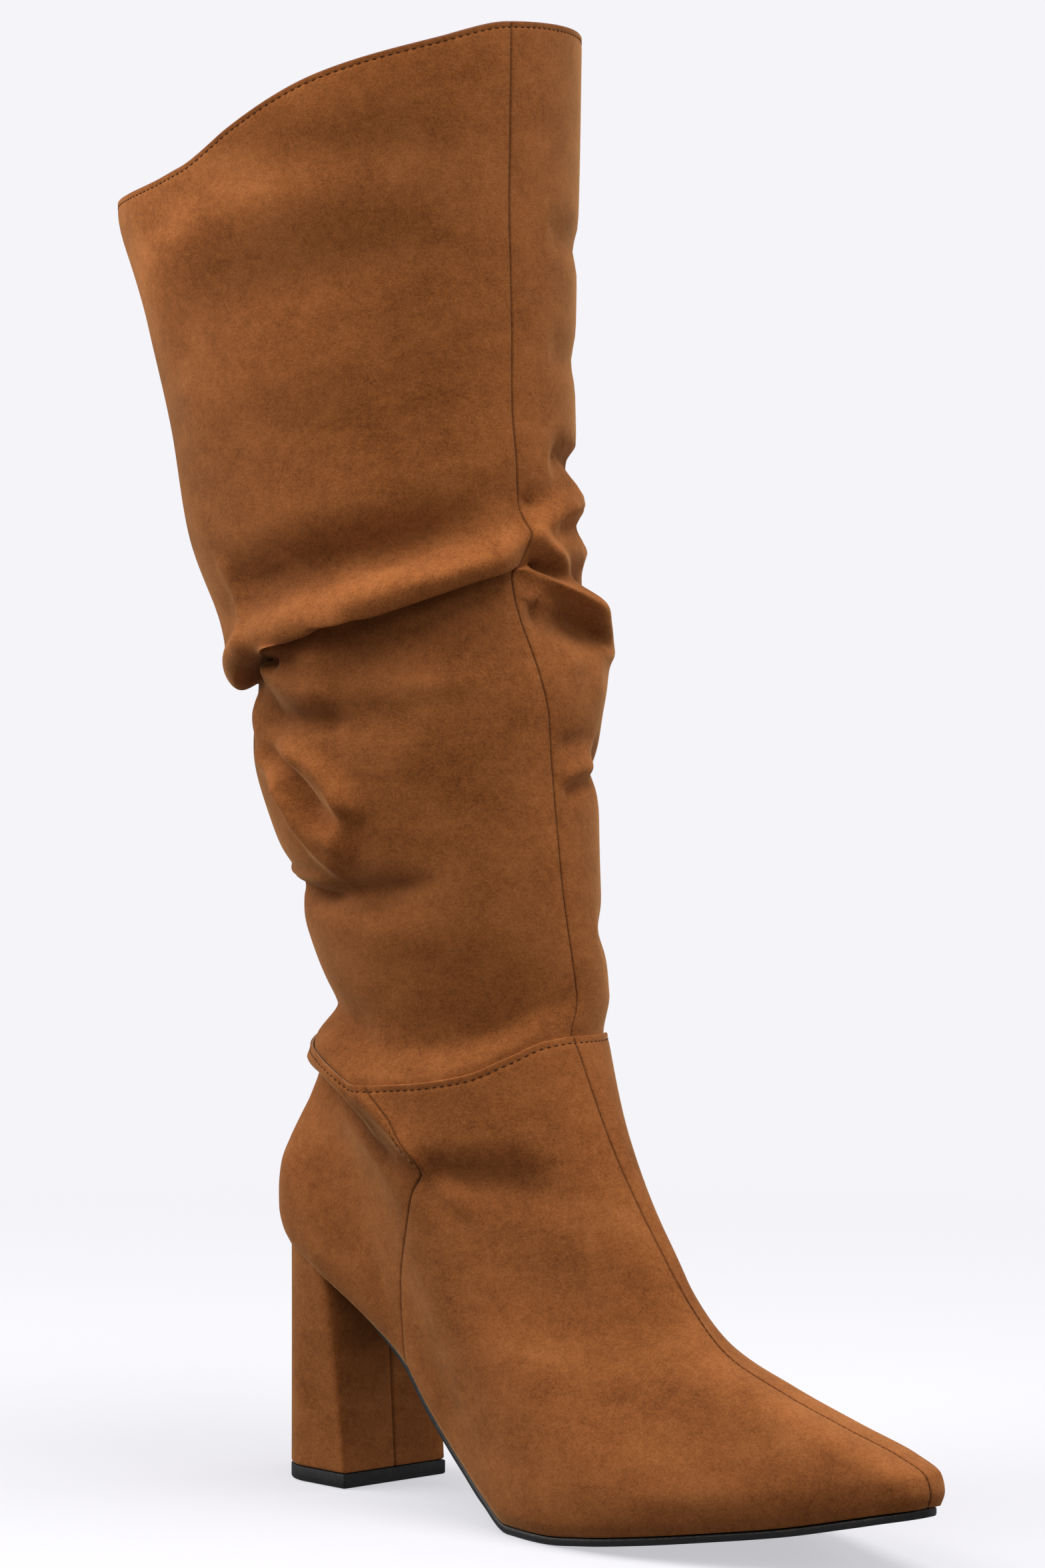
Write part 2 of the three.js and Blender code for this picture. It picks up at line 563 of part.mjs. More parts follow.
// Half width of the top lift at a place along it: a rounded back, then straight sides
function liftWidth(x) {
  const back = clamp((x - LIFT_BACK) / LIFT_ROUND, 0, 1);
  return (LIFT_WIDTH / 2) * Math.sqrt(1 - (1 - back) ** 2);
}

// Corner-to-corner outline around the back of the heel. level: 0 on the top lift, 1 at the seat.
function heelOutline(level) {
  const flare = level ** HEEL_FLARE;
  return Array.from({ length: HEEL_SIDES + 1 }, (_, i) => {
    const around = (2 * i) / HEEL_SIDES - 1;
    const forward = 1 - Math.cos((Math.abs(around) * Math.PI) / 2);
    const lowX = mix(LIFT_BACK, LIFT_FRONT, forward);
    const highX = mix(SEAT_BACK, BREAST, forward);
    const share = soleShare(highX);
    const highY = Math.max(soleWidth(share, around > 0) - HEEL_INSET, 0);
    const x = mix(lowX, highX, level);
    const y = Math.sign(around) * mix(liftWidth(lowX), highY, flare);
    return new THREE.Vector3(x, y, mix(LIFT + GAP, featherZ(share) - GAP, level));
  });
}

// Body between stacked outlines that run corner to corner around a straight front
function stack(outlines) {
  const count = outlines[0].length;
  const index = [];
  const quad = (a, b, c, d) => index.push(a, b, c, a, c, d);
  for (let level = 0; level < outlines.length - 1; level += 1) {
    for (let i = 0; i < count; i += 1) {
      const j = (i + 1) % count;
      const [low, high] = [level * count, (level + 1) * count];
      quad(low + i, high + i, high + j, low + j);
    }
  }
  const top = (outlines.length - 1) * count;
  for (let i = 0; i < (count - 1) / 2; i += 1) {
    const other = count - 1 - i;
    quad(i, i + 1, other - 1, other);
    quad(top + i, top + other, top + other - 1, top + i + 1);
  }
  return body(outlines.flat(), index);
}

function heel() {
  return stack(Array.from({ length: HEEL_LEVELS }, (_, i) => heelOutline(i / (HEEL_LEVELS - 1))));
}

function topLift() {
  const outline = heelOutline(0);
  return stack([0, LIFT].map((z) => outline.map((point) => point.clone().setZ(z))));
}

// Half width of the insole, the sole's own outline drawn in by the wall
function insoleWidth(share, inner) {
  const wide = soleWidth((share - insoleBack) / (insoleFront - insoleBack), inner);
  return wide - INSOLE_INSET * Math.min(1, wide / (3 * INSOLE_INSET));
}

const insoleBack = INSOLE_INSET / LENGTH;
const insoleFront = 1 - (3 * INSOLE_INSET) / LENGTH;
const outsoleBack = soleShare(BREAST + GAP);
const foot = footRings();

const boot = new THREE.Group();
boot.name = "slouch_boot";
boot.add(piece("top_lift", topLift(), RUBBER));
boot.add(piece("heel", heel(), HEEL_SUEDE));
boot.add(piece("outsole", plate(outsoleBack, 1, soleWidth, -GAP - SOLE, SOLE), RUBBER));
boot.add(piece("insole", plate(insoleBack, insoleFront, insoleWidth, 0, INSOLE), LINING));
boot.add(piece("upper", hollow(foot), SUEDE));
boot.add(piece("shaft", hollow(shaftRings(foot)), SUEDE));

export default boot;
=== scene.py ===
"""Looks of the tan suede slouch boot: suede, seams, stitches, creases, floor, lights and camera.

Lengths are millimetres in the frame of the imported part, up to the floor, the lights and the
camera, which are metres. Angles are degrees around the boot from the front, with the outer side
negative.
"""
import math

import bmesh
import bpy
import numpy as np
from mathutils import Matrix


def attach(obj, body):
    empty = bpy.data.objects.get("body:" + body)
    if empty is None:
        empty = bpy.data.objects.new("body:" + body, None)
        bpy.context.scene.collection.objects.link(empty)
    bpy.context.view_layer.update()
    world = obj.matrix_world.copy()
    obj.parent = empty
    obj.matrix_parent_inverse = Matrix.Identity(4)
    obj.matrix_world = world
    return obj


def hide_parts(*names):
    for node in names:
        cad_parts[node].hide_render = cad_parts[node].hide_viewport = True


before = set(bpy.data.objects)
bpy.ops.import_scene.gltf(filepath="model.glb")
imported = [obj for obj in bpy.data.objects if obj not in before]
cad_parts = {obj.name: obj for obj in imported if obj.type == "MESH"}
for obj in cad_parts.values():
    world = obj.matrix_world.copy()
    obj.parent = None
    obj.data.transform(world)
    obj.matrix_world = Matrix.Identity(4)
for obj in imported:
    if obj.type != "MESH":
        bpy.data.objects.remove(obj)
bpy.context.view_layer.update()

MM = 0.001

# Shape: the same sizes and tables as the part
LENGTH = 249.5
SEAT_BACK = -16
BALL_WIDTH = 75
SEAT_RISE = 71.7
TOE_SPRING = 17.2
SOLE = 2.3
INSOLE = 2
GAP = 0.3
BREAST = 15.6
LIFT_BACK = -17.2
LIFT_FRONT = 19.4
LIFT_WIDTH = 41
LIFT = 4.3
LIFT_ROUND = 18
HEEL_INSET = 0.6
WALL = 1.8
ANKLE_HEIGHT = 138
ANKLE_CENTRE = 47.2
ANKLE_LENGTH = 101
ANKLE_WIDTH = 77
ANKLE_DIP = 16
TUCK = 8
BOOT_HEIGHT = 437
COLLAR_LENGTH = 160
COLLAR_WIDTH = 127
COLLAR_DROP = 49
LEAN = 57.5
SIDE_LEAN = 6.5
ROLL = 12
FOLD = 10
SHAFT_GIRTH = 330
INSOLE_INSET = WALL + 5 * GAP
INSOLE_BACK = INSOLE_INSET / LENGTH
INSOLE_FRONT = 1 - 3 * INSOLE_BACK

# The looks alone draw the outsole in and thin it beside the heel, and stop it short of the tip
SHANK_INSET = 2.2
SHANK_THIN = 0.35
SHANK_END = 60
OUTSOLE_END = 0.994

SOLE_KEYS = ("share", "lateral", "medial", "seat", "spring")
SOLE_ROWS = [
    (0, 0, 0, 1, 0),
    (0.03, 0.49, 0.44, 0.98, 0),
    (0.08, 0.65, 0.62, 0.93, 0),
    (0.128, 0.68, 0.66, 0.85, 0),
    (0.2, 0.65, 0.59, 0.706, 0),
    (0.259, 0.64, 0.53, 0.57, 0),
    (0.316, 0.68, 0.53, 0.38, 0),
    (0.38, 0.735, 0.63, 0.195, 0),
    (0.434, 0.825, 0.8, 0.08, 0),
    (0.49, 0.925, 0.93, 0, 0),
    (0.56, 0.995, 0.99, 0, 0),
    (0.62, 0.975, 1.01, 0, 0.07),
    (0.69, 0.885, 0.96, 0, 0.19),
    (0.77, 0.7, 0.8, 0, 0.35),
    (0.85, 0.5, 0.58, 0, 0.53),
    (0.93, 0.325, 0.365, 0, 0.78),
    (0.975, 0.245, 0.26, 0, 0.93),
    (0.992, 0.18, 0.19, 0, 0.98),
    (1, 0, 0, 0, 1),
]

FOOT_KEYS = (
    "up", "front_x", "front_z", "back_x", "back_z", "rear", "middle", "fore", "inner", "tube",
)
FOOT_ROWS = [
    (0, 1, 0, 0, 0, 1, 1, 1, 1, 0),
    (0.05, 1.004, 0.03, -0.009, 0.074, 1.06, 1.05, 1.08, 1, 0.01),
    (0.1, 0.998, 0.069, -0.012, 0.157, 1.1, 1.05, 1.12, 1, 0.03),
    (0.17, 0.962, 0.105, -0.011, 0.256, 1.11, 1.03, 1.12, 1, 0.06),
    (0.26, 0.885, 0.15, -0.006, 0.371, 1.1, 1, 1.09, 0.97, 0.12),
    (0.37, 0.792, 0.208, 0.007, 0.486, 1.06, 0.98, 1.01, 0.91, 0.25),
    (0.49, 0.704, 0.278, 0.021, 0.594, 1, 0.97, 0.89, 0.84, 0.42),
    (0.61, 0.647, 0.38, 0.033, 0.7, 0.93, 0.97, 0.82, 0.78, 0.6),
    (0.73, 0.593, 0.519, 0.042, 0.807, 0.9, 0.98, 0.82, 0.76, 0.78),
    (0.87, 0.522, 0.733, 0.047, 0.903, 0.91, 1, 0.88, 0.86, 0.93),
    (1, 0.4556, 1, 0.0509, 1, 0.96, 1, 1, 1, 1),
]

SHAFT_KEYS = ("up", "girth", "width", "lean", "side")
SHAFT_ROWS = [
    (-0.15, -0.06, -0.05, -0.02, 0.7),
    (0, -0.06, -0.04, -0.02, 0.8),
    (0.05, 0, 0, 0.02, 0.6),
    (0.15, 0.13, 0.14, 0.14, 0.3),
    (0.26, 0.32, 0.33, 0.32, 0.55),
    (0.34, 0.42, 0.44, 0.43, 1),
    (0.42, 0.51, 0.5, 0.59, 1.15),
    (0.5, 0.6, 0.6, 0.72, 1),
    (0.61, 0.7, 0.66, 0.82, 1.1),
    (0.72, 0.84, 0.79, 0.91, 1.05),
    (0.83, 0.97, 0.95, 1, 1.1),
    (1, 1, 1, 1.01, 1.15),
]

# Angle and rise of the collar, and angle and dip of the ankle seam
COLLAR_ROWS = [
    (0, 0.95), (42, 1), (90, 0.75), (135, 0.33), (180, 0.07),
    (240, 0.05), (266, 0.14), (282, 0.34), (306, 0.61), (338, 0.82),
]
ANKLE_ROWS = [
    (-180, 0.1), (-122, 0.42), (-106, 0.66), (-92, 0.93), (-72, 0.87),
    (-48, 0.68), (-32, 0.37), (-15, 0.07), (0, 0), (40, 0.03),
    (72, 0.42), (98, 0.68), (125, 0.5),
]

ROLL_KEYS = ("angle", "up", "ridge", "lean", "tuck", "valley")
ROLL_ROWS = [
    (-180, 0.39, 0, 0.12, 0.15, 0),
    (-135, 0.342, -0.35, 0.2, 0.6, 0.12),
    (-110, 0.368, -0.1, 0.3, 0.72, 0.26),
    (-58, 0.41, 0.1, 0.36, 0.7, 0.26),
    (-16, 0.45, 0.05, 0.3, 0.55, 0.22),
    (-3, 0.457, -0.25, 0.15, 0.3, 0.25),
    (12, 0.432, 0.08, 0.25, 0.24, 0.2),
    (42, 0.375, 0.46, 0.26, 0.2, 0.08),
    (84, 0.355, 0.14, 0.15, 0.15, 0.05),
    (130, 0.37, 0, 0.12, 0.15, 0),
]

# Folds: three places (angle, share of the height), then width and ridge, and lean and tuck where
# they aren't 0, which are multiples of FOLD
FOLDS = [
    ((-4, 0.49), (22, 0.51), (76, 0.53), 0.6, 0.18, 0.1, 0),
    ((8, 0.572), (32, 0.563), (80, 0.557), 0.5, -0.3, 0.05, 0),
    ((-72, 0.325), (-96, 0.345), (-118, 0.325), 0.6, 0.3, 0.1, 0.1),
    ((-112, 0.262), (-98, 0.2), (-80, 0.17), 0.6, 0.35, 0.1, 0),
    ((-104, 0.29), (-86, 0.24), (-76, 0.2), 0.55, 0.3, 0.1, 0),
    ((-160, 0.16), (-112, 0.137), (-46, 0.142), 0.7, -0.45),
    ((-170, 0.03), (-128, 0.02), (-88, 0), 0.9, -0.2),
    ((15, 0.36), (46, 0.335), (85, 0.32), 0.8, 0.25),
    ((20, 0.29), (48, 0.245), (80, 0.23), 0.6, -0.3),
    ((20, 0.11), (48, 0.097), (85, 0.1), 0.6, -0.18),
]
FOOT_FOLDS = [
    ((-172, 0.78), (-104, 0.93), (-64, 0.66), 0.45, 0.04, 0.11, 0),
]

# Softer creases that only the looks have, in the same form
CREASES = [
    ((-12, 0.512), (-62, 0.472), (-114, 0.44), 0.55, -0.38),
    ((-116, 0.42), (-56, 0.458), (-2, 0.495), 0.3, 0.16),
    ((-109, 0.475), (-107, 0.434), (-100, 0.395), 0.35, 0.13),
    ((-130, 0.325), (-112, 0.365), (-90, 0.405), 0.45, -0.3),
    ((-84, 0.405), (-97, 0.38), (-106, 0.326), 0.28, 0.34),
    ((-118, 0.352), (-107, 0.338), (-99, 0.344), 0.22, -0.55),
    ((-122, 0.338), (-96, 0.321), (-74, 0.321), 0.34, 0.28, 0.1, 0),
    ((-114, 0.311), (-92, 0.302), (-70, 0.307), 0.28, -0.26),
    ((-84, 0.322), (-60, 0.333), (-14, 0.352), 0.4, 0.1),
    ((-130, 0.313), (-110, 0.286), (-88, 0.262), 0.36, 0.22),
    ((-88, 0.293), (-67, 0.306), (-50, 0.29), 0.7, -0.1),
    ((-126, 0.276), (-106, 0.248), (-100, 0.2), 0.36, 0.28),
    ((-103, 0.22), (-98, 0.182), (-87, 0.15), 0.36, 0.26),
    ((-116, 0.29), (-97, 0.25), (-90, 0.19), 0.36, -0.26),
    ((-90, 0.272), (-81, 0.243), (-82, 0.2), 0.28, 0.2),
    ((-82, 0.212), (-83, 0.19), (-90, 0.165), 0.3, 0.12),
    ((-150, 0.143), (-90, 0.138), (-46, 0.156), 0.25, -0.16),
    ((-168, 0.154), (-128, 0.143), (-92, 0.138), 0.3, 0, 0.22, 0),
    ((-126, 0.35), (-114, 0.372), (-96, 0.385), 0.25, 0.22),
    ((-76, 0.427), (-67, 0.424), (-58, 0.432), 0.5, 0.05, 0, 0.16),
    ((12, 0.575), (28, 0.571), (60, 0.57), 0.25, -0.2),
    ((12, 0.568), (24, 0.555), (36, 0.524), 0.35, 0.14),
    ((-6, 0.498), (9, 0.508), (30, 0.528), 0.4, 0.24),
    ((-4, 0.517), (10, 0.528), (34, 0.545), 0.3, -0.22),
    ((8, 0.502), (30, 0.504), (70, 0.5), 0.28, -0.16),
    ((2, 0.483), (22, 0.483), (60, 0.472), 0.36, 0.2),
    ((-3, 0.465), (13, 0.459), (54, 0.438), 0.34, -0.42),
    ((-8, 0.456), (6, 0.437), (44, 0.424), 0.42, 0.24),
    ((-6, 0.415), (8, 0.393), (56, 0.386), 0.45, -0.34),
    ((2, 0.364), (20, 0.364), (48, 0.368), 0.4, 0.12),
    ((-2, 0.286), (10, 0.285), (26, 0.293), 0.3, -0.1),
    ((-2, 0.245), (12, 0.257), (30, 0.262), 0.3, 0.14),
    ((0, 0.232), (14, 0.243), (34, 0.245), 0.3, -0.18),
    ((-170, 0.83), (-135, 0.838), (-100, 0.85), 1.3, 0.2),
    ((-132, 0.715), (-95, 0.785), (-44, 0.83), 0.8, 0.15),
    ((-116, 0.67), (-75, 0.735), (-16, 0.77), 0.9, -0.14),
    ((-94, 0.88), (-62, 0.865), (-18, 0.88), 0.9, -0.12),
    ((-120, 0.6), (-84, 0.64), (-40, 0.66), 1, 0.1),
    ((8, 0.79), (30, 0.787), (64, 0.78), 0.5, -0.16),
    ((8, 0.675), (30, 0.672), (64, 0.665), 0.6, -0.14),
    ((-118, 0.5), (-80, 0.56), (-30, 0.6), 1.4, -0.06),
    ((-60, 0.2), (-35, 0.23), (-8, 0.21), 1.2, -0.06),
    ((-90, 0.09), (-50, 0.1), (-15, 0.085), 1, 0.06),
]
FOOT_CREASES = [
    ((-176, 0.82), (-128, 0.915), (-88, 0.95), 0.3, 0.05, 0.1, 0),
    ((-98, 0.965), (-83, 0.915), (-76, 0.78), 0.3, 0.03, 0.15, 0),
    ((-165, 0.7), (-108, 0.87), (-84, 0.77), 0.45, -0.26),
    ((-82, 0.835), (-60, 0.845), (-26, 0.865), 0.3, -0.3),
    ((-82, 0.885), (-56, 0.905), (-26, 0.895), 0.3, 0.15),
    ((-30, 0.36), (-18, 0.4), (-4, 0.38), 0.6, -0.05),
    ((1, 0.62), (12, 0.6), (32, 0.58), 0.4, -0.13),
    ((1, 0.5), (12, 0.49), (32, 0.47), 0.4, -0.11),
    ((-34, 0.56), (-18, 0.6), (-4, 0.57), 0.5, -0.07),
    ((-70, 0.3), (-50, 0.34), (-30, 0.3), 1.2, -0.05),
]

# Patches of random mottling and of painted light and painted shade, such as the painted shade
# under the ankle crease: angle, share of the height, their spreads, amount
SHAFT_MOTTLE_AND_PAINTED_LIGHT = [
    (-112, 0.8, 34, 0.1, 0.55),
    (-66, 0.96, 44, 0.09, 0.46),
    (-50, 0.64, 48, 0.15, 0.24),
    (20, 0.8, 22, 0.3, -0.08),
]
FOOT_MOTTLE_AND_PAINTED_LIGHT = [
    (-125, 0.45, 34, 0.4, 0.12),
    (-55, 0.65, 34, 0.24, -0.12),
    (-97, 0.85, 18, 0.13, -0.3),
    (-36, 0.2, 24, 0.24, -0.16),
]

# How a fold fades towards its ends, and where the big roll has its crown and its valley
FOLD_STEPS = 12
FOLD_FADE = 0.25
VALLEY_UP = 1.35
VALLEY_BELOW = 0.28
VALLEY_ABOVE = 0.85
CROWN_UP = 0.95
CROWN_SPREAD = 0.3
CROWN = 0.4
ROLL_REACH = 1.9 * ROLL
FREE_RISE = 1.2 * FOLD

# How the foot part's sections pass from rear to front, and from the sole up to the ankle seam
REAR_BLEND = (0.1, 0.5)
FORE_BLEND = (0.5, 0.85)
FOLLOW_TOP = 0.9
FOLLOW_FALL = 1.3
DIP_START = 0.45

# Where the seams run. Front seam of the shaft: height, angle. Counter seam of the foot part:
# height, x, for both sides.
SEAM_ROWS = [
    (140, 0), (160, -1), (200, -2.5), (229, -4.5), (242, -7.5),
    (262, -11.5), (270, -10), (277, -6.5), (289, -2.7), (303, -4.8),
    (320, -6.3), (345, -5.5), (440, -4.8),
]
COUNTER_ROWS = [
    (20, 51), (47, 53), (56, 53.8), (65, 55.5),
    (74.5, 60.6), (84.5, 66.8), (92, 70.2), (98, 72.8),
    (104, 68), (110.5, 62.4), (120, 53.3), (130, 43),
]
COUNTER_BASE = 105
COUNTER_SEARCH = (70, 140, 141)

# Grids: numbers of columns and levels, and spots of (angle, spread, extra columns)
FOOT_COLUMNS = 340
FOOT_LEVELS = 76
FOOT_CROWDING = 1.1
FOOT_SPOTS = [(0, 1.6, 7), (180, 1.6, 7), (-COUNTER_BASE, 1.8, 6), (COUNTER_BASE, 1.8, 6)]
SHAFT_COLUMNS = 320
SHAFT_SPOTS = [(0, 1.6, 7), (180, 1.6, 6)]
CALF_LEVELS = 92
ROLL_LEVELS = 74
LEG_LEVELS = 44
LINING_LEVELS = 44
FINE_PLACES = 7201
HALVINGS = 18
CHECK_LEVELS = 80
SMOOTH_REACH = 3

# Levels near an edge, as distances below it, and the one along which its stitches run
EDGE_DROPS = [9, 7, 5.4, 4.2, 3.4, 2.9, 2.6, 2.3, 2.0, 1.7, 1.4, 1.0, 0.7, 0.4, 0.2, 0]
COLLAR_DROPS = [6, 4.6, 3.6, 2.9, 2.4, 2.0, 1.7, 1.4, 1.1, 0.8, 0.5, 0.3, 0.15, 0]
LAP_DROPS = [TUCK, 5.5, 3, 1, 0]
STITCH_DROP = 1.4
COUNTER_STITCH_DROP = 2.6
EDGE_STEP = 1.25
EDGE_WALL = 1.05
EDGE_THINNING = (9, 4)
LINING_WINDOW = 4.5

# Seams as grooves: depth, width of the cut, depth and width of the valley
FOOT_SEAM = (0.35, 0.35, 0.18, 2.2)
SHAFT_SEAM = (0.35, 0.35, 0.2, 2.4)
HEEL_SEAM = (0.4, 0.4, 0.15, 2.0)
ANKLE_GROOVE = (0.16, 0.45, 0.1, 1.6)
ANKLE_REACH = 8
COLLAR_GROOVE = (0.14, 0.35, 0.08, 1.4)
SEAM_DARK = 0.5
SEAM_WIDTH = 0.35
SEAM_SHADE = 0.06
SHADE_WIDTH = 1.2
SEAM_DRIFT = 55
FRONT_DEGREE = 0.95
BACK_DEGREE = 1.05
FAR = 99

# Tone: painted highlight on fold ridges and painted shade in their troughs, darker towards the
# feather edge, and bands of painted light and shade: distance from the roll in ROLLs, spread,
# amount
FOLD_HIGHLIGHT_AND_SHADE = 0.06
FOLD_HIGHLIGHT_AND_SHADE_RANGE = (-0.22, 0.13)
FEATHER_TOP = 0.1
FEATHER_DARK = 0.12
FULL_TUCK = 0.7
ROLL_LIGHT_AND_SHADE = [(0.95, 0.3, 0.1), (2.2, 0.9, 0.1), (-1.2, 0.9, -0.28)]

FOOT_HEIGHT = ANKLE_HEIGHT - SEAT_RISE
SHAFT_HEIGHT = BOOT_HEIGHT - ANKLE_HEIGHT


def mix(start, end, share):
    return start + (end - start) * share


def ease(low, high, value):
    share = np.clip((value - low) / (high - low), 0, 1)
    return share * share * (3 - 2 * share)


def bump(offset, width):
    return np.exp(-((offset / width) ** 2))


def monotone(xs, ys):
    """Smooth curve through points that never overshoots them."""
    xs = np.asarray(xs, float)
    ys = np.asarray(ys, float)
    steps = np.diff(xs)
    slopes = np.diff(ys) / steps
    turns = np.concatenate([slopes[:1], np.zeros(len(xs) - 2), slopes[-1:]])
    for i in range(1, len(xs) - 1):
        if slopes[i - 1] * slopes[i] > 0:
            before = 2 * steps[i] + steps[i - 1]
            after = steps[i] + 2 * steps[i - 1]
            turns[i] = (before + after) / (before / slopes[i - 1] + after / slopes[i])

    def at(value):
        x = np.clip(value, xs[0], xs[-1])
        i = np.clip(np.searchsorted(xs, x, side="right") - 1, 0, len(xs) - 2)
        t = (x - xs[i]) / steps[i]
        blend = t * t * (3 - 2 * t)
        start = t * (1 - t) * (1 - t) * steps[i] * turns[i]
        end = t * t * (t - 1) * steps[i] * turns[i + 1]
        return mix(ys[i], ys[i + 1], blend) + start + end

    return at


def unit(vectors):
    length = np.linalg.norm(vectors, axis=-1, keepdims=True)
    return vectors / np.maximum(length, 1e-9)


def run_along(points):
    """Distance of each point from the first, along their path."""
    return np.concatenate([[0], np.cumsum(np.linalg.norm(np.diff(points, axis=0), axis=1))])


def between(places, knots, points):
    """Points at places between knots at which points are given."""
    return np.stack([np.interp(places, knots, points[:, k]) for k in range(3)], -1)


def angle_off(angle, spot):
    return (angle - spot + 180) % 360 - 180


def curves(keys, rows):
    xs = [row[0] for row in rows]
    return {key: monotone(xs, [row[i + 1] for row in rows]) for i, key in enumerate(keys[1:])}


def turned(rows):
    """Rows whose first value is an angle, one turn before and after too."""
    return [(row[0] + turn, *row[1:]) for turn in (-360, 0, 360) for row in rows]


def around_sole(share):
    """Angle around a half circle over the sole, which spreads the narrow ends out."""
    return np.arccos(1 - 2 * np.clip(share, 0, 1))


sole_places = around_sole([row[0] for row in SOLE_ROWS])
lateral_width = monotone(sole_places, [row[1] for row in SOLE_ROWS])
medial_width = monotone(sole_places, [row[2] for row in SOLE_ROWS])
sole_curve = curves(SOLE_KEYS, SOLE_ROWS)
foot_curve = curves(FOOT_KEYS, FOOT_ROWS)
shaft_curve = curves(SHAFT_KEYS, SHAFT_ROWS)
roll_curve = curves(ROLL_KEYS, turned(ROLL_ROWS))
collar_rise = monotone(*zip(*turned(COLLAR_ROWS)))
ankle_dip = monotone(*zip(*turned(ANKLE_ROWS)))
seam_angle = monotone(*zip(*SEAM_ROWS))
counter_x = monotone(*zip(*COUNTER_ROWS))


def sole_x(share):
    return SEAT_BACK + LENGTH * share


def sole_share(x):
    return (x - SEAT_BACK) / LENGTH


def sole_width(share, inner):
    place = around_sole(share)
    return BALL_WIDTH / 2 * np.where(inner, medial_width(place), lateral_width(place))


def feather_z(share):
    rise = SEAT_RISE * sole_curve["seat"](share) + TOE_SPRING * sole_curve["spring"](share)
    return SOLE + GAP + rise


def near_fold(places, angle, height, rise):
    """Share along a fold's line, and distance from the line, positive above it."""
    centre = places[1][0]
    away = angle_off(centre, angle)
    first, middle, last = [
        np.stack([(away + degree - centre) * SHAFT_GIRTH / 360, (share - height) * rise], -1)
        for degree, share in places
    ]
    bend = 2 * middle - (first + last) / 2
    chord = last - first
    sign = np.where(chord[..., 0] == 0, 1, np.sign(chord[..., 0]))
    up = np.stack([-chord[..., 1], chord[..., 0]], -1) * sign[..., None]
    best = np.full(first.shape[:-1], np.inf)
    along = np.zeros_like(best)
    above = np.zeros_like(best, dtype=bool)
    before = first
    for step in range(FOLD_STEPS):
        t = (step + 1) / FOLD_STEPS
        after = (1 - t) ** 2 * first + 2 * t * (1 - t) * bend + t * t * last
        way = after - before
        share = np.clip(-(before * way).sum(-1) / (way * way).sum(-1), 0, 1)
        place = before + way * share[..., None]
        distance = np.hypot(place[..., 0], place[..., 1])
        closer = distance < best
        best = np.where(closer, distance, best)
        along = np.where(closer, (step + share) / FOLD_STEPS, along)
        above = np.where(closer, (place * up).sum(-1) <= 0, above)
        before = after
    return along, np.where(above, best, -best)


def fold_push(ridge, lean, tuck, across):
    """How far a fold pushes a place outwards and downwards."""
    bell = np.exp(-across * across)
    swing = math.sqrt(2 * math.e) * across * bell
    return ridge * bell + lean * swing, tuck * swing


def roll_push(shape, across):
    """The big roll's fold, with its crown and the valley above it."""
    outward, down = fold_push(shape["ridge"], shape["lean"], shape["tuck"], across)
    over = across - VALLEY_UP
    valley = bump(over, np.where(over < 0, VALLEY_BELOW, VALLEY_ABOVE))
    crown = bump(across - CROWN_UP, CROWN_SPREAD)
    return outward + shape["valley"] * (CROWN * crown - valley), down


def fold_shift(folds, angle, height, rise):
    outward = np.zeros(np.broadcast(angle, height).shape)
    down = np.zeros_like(outward)
    for first, middle, last, width, ridge, *slope in folds:
        lean, tuck = slope or (0, 0)
        along, across = near_fold((first, middle, last), angle, height, rise)
        taper = ease(0, FOLD_FADE, along) * ease(0, FOLD_FADE, 1 - along)
        push = fold_push(ridge, lean, tuck, across / (width * FOLD))
        outward += taper * FOLD * push[0]
        down += taper * FOLD * push[1]
    return outward, down


def foot_point(angle, up, folds=FOOT_FOLDS):
    """Outside of the foot part."""
    angle, up = np.broadcast_arrays(angle, up)
    row = {key: at(up) for key, at in foot_curve.items()}
    turn = np.radians(angle)
    share = (1 + np.cos(turn)) / 2
    inner = angle > 0
    oval = (ANKLE_WIDTH / 2) * np.abs(np.sin(turn))
    rear = mix(row["rear"], row["middle"], ease(*REAR_BLEND, share))
    fore = mix(row["middle"], row["fore"], ease(*FORE_BLEND, share))
    fullness = np.where(share < 0.5, rear, fore)
    side = mix(sole_width(share, inner), oval, row["tube"]) * fullness
    side = side * np.where(inner, row["inner"], 1)
    straight = mix(feather_z(0), feather_z(1), share)
    follow = (1 - ease(0, FOLLOW_TOP, up)) ** FOLLOW_FALL
    outward, _ = fold_shift(folds, angle, up, FOOT_HEIGHT)
    back = mix(feather_z(0), ANKLE_HEIGHT, row["back_z"])
    front = mix(feather_z(1), ANKLE_HEIGHT, row["front_z"])
    dip = ease(DIP_START, 1, up) * ANKLE_DIP * ankle_dip(angle)
    x = SEAT_BACK + LENGTH * mix(row["back_x"], row["front_x"], share)
    y = np.where(inner, side, -side)
    z = mix(back, front, share) + follow * (feather_z(share) - straight) - dip
    return np.stack([x + outward * np.cos(turn), y + outward * np.sin(turn), z], -1)


def roll_z(angle):
    return ANKLE_HEIGHT + SHAFT_HEIGHT * roll_curve["up"](angle)


def collar_z(angle):
    return BOOT_HEIGHT - COLLAR_DROP * (1 - collar_rise(angle))


def oval_point(angle, z):
    """The shaft's oval at a height, before its folds."""
    up = (z - ANKLE_HEIGHT) / SHAFT_HEIGHT
    turn = np.radians(angle)
    length = mix(ANKLE_LENGTH / 2 - WALL, COLLAR_LENGTH / 2, shaft_curve["girth"](up))
    width = mix(ANKLE_WIDTH / 2 - WALL, COLLAR_WIDTH / 2, shaft_curve["width"](up))
    x = ANKLE_CENTRE - LEAN * shaft_curve["lean"](up) + length * np.cos(turn)
    y = SIDE_LEAN * shaft_curve["side"](up) + width * np.sin(turn)
    return np.stack(np.broadcast_arrays(x, y, z), -1)


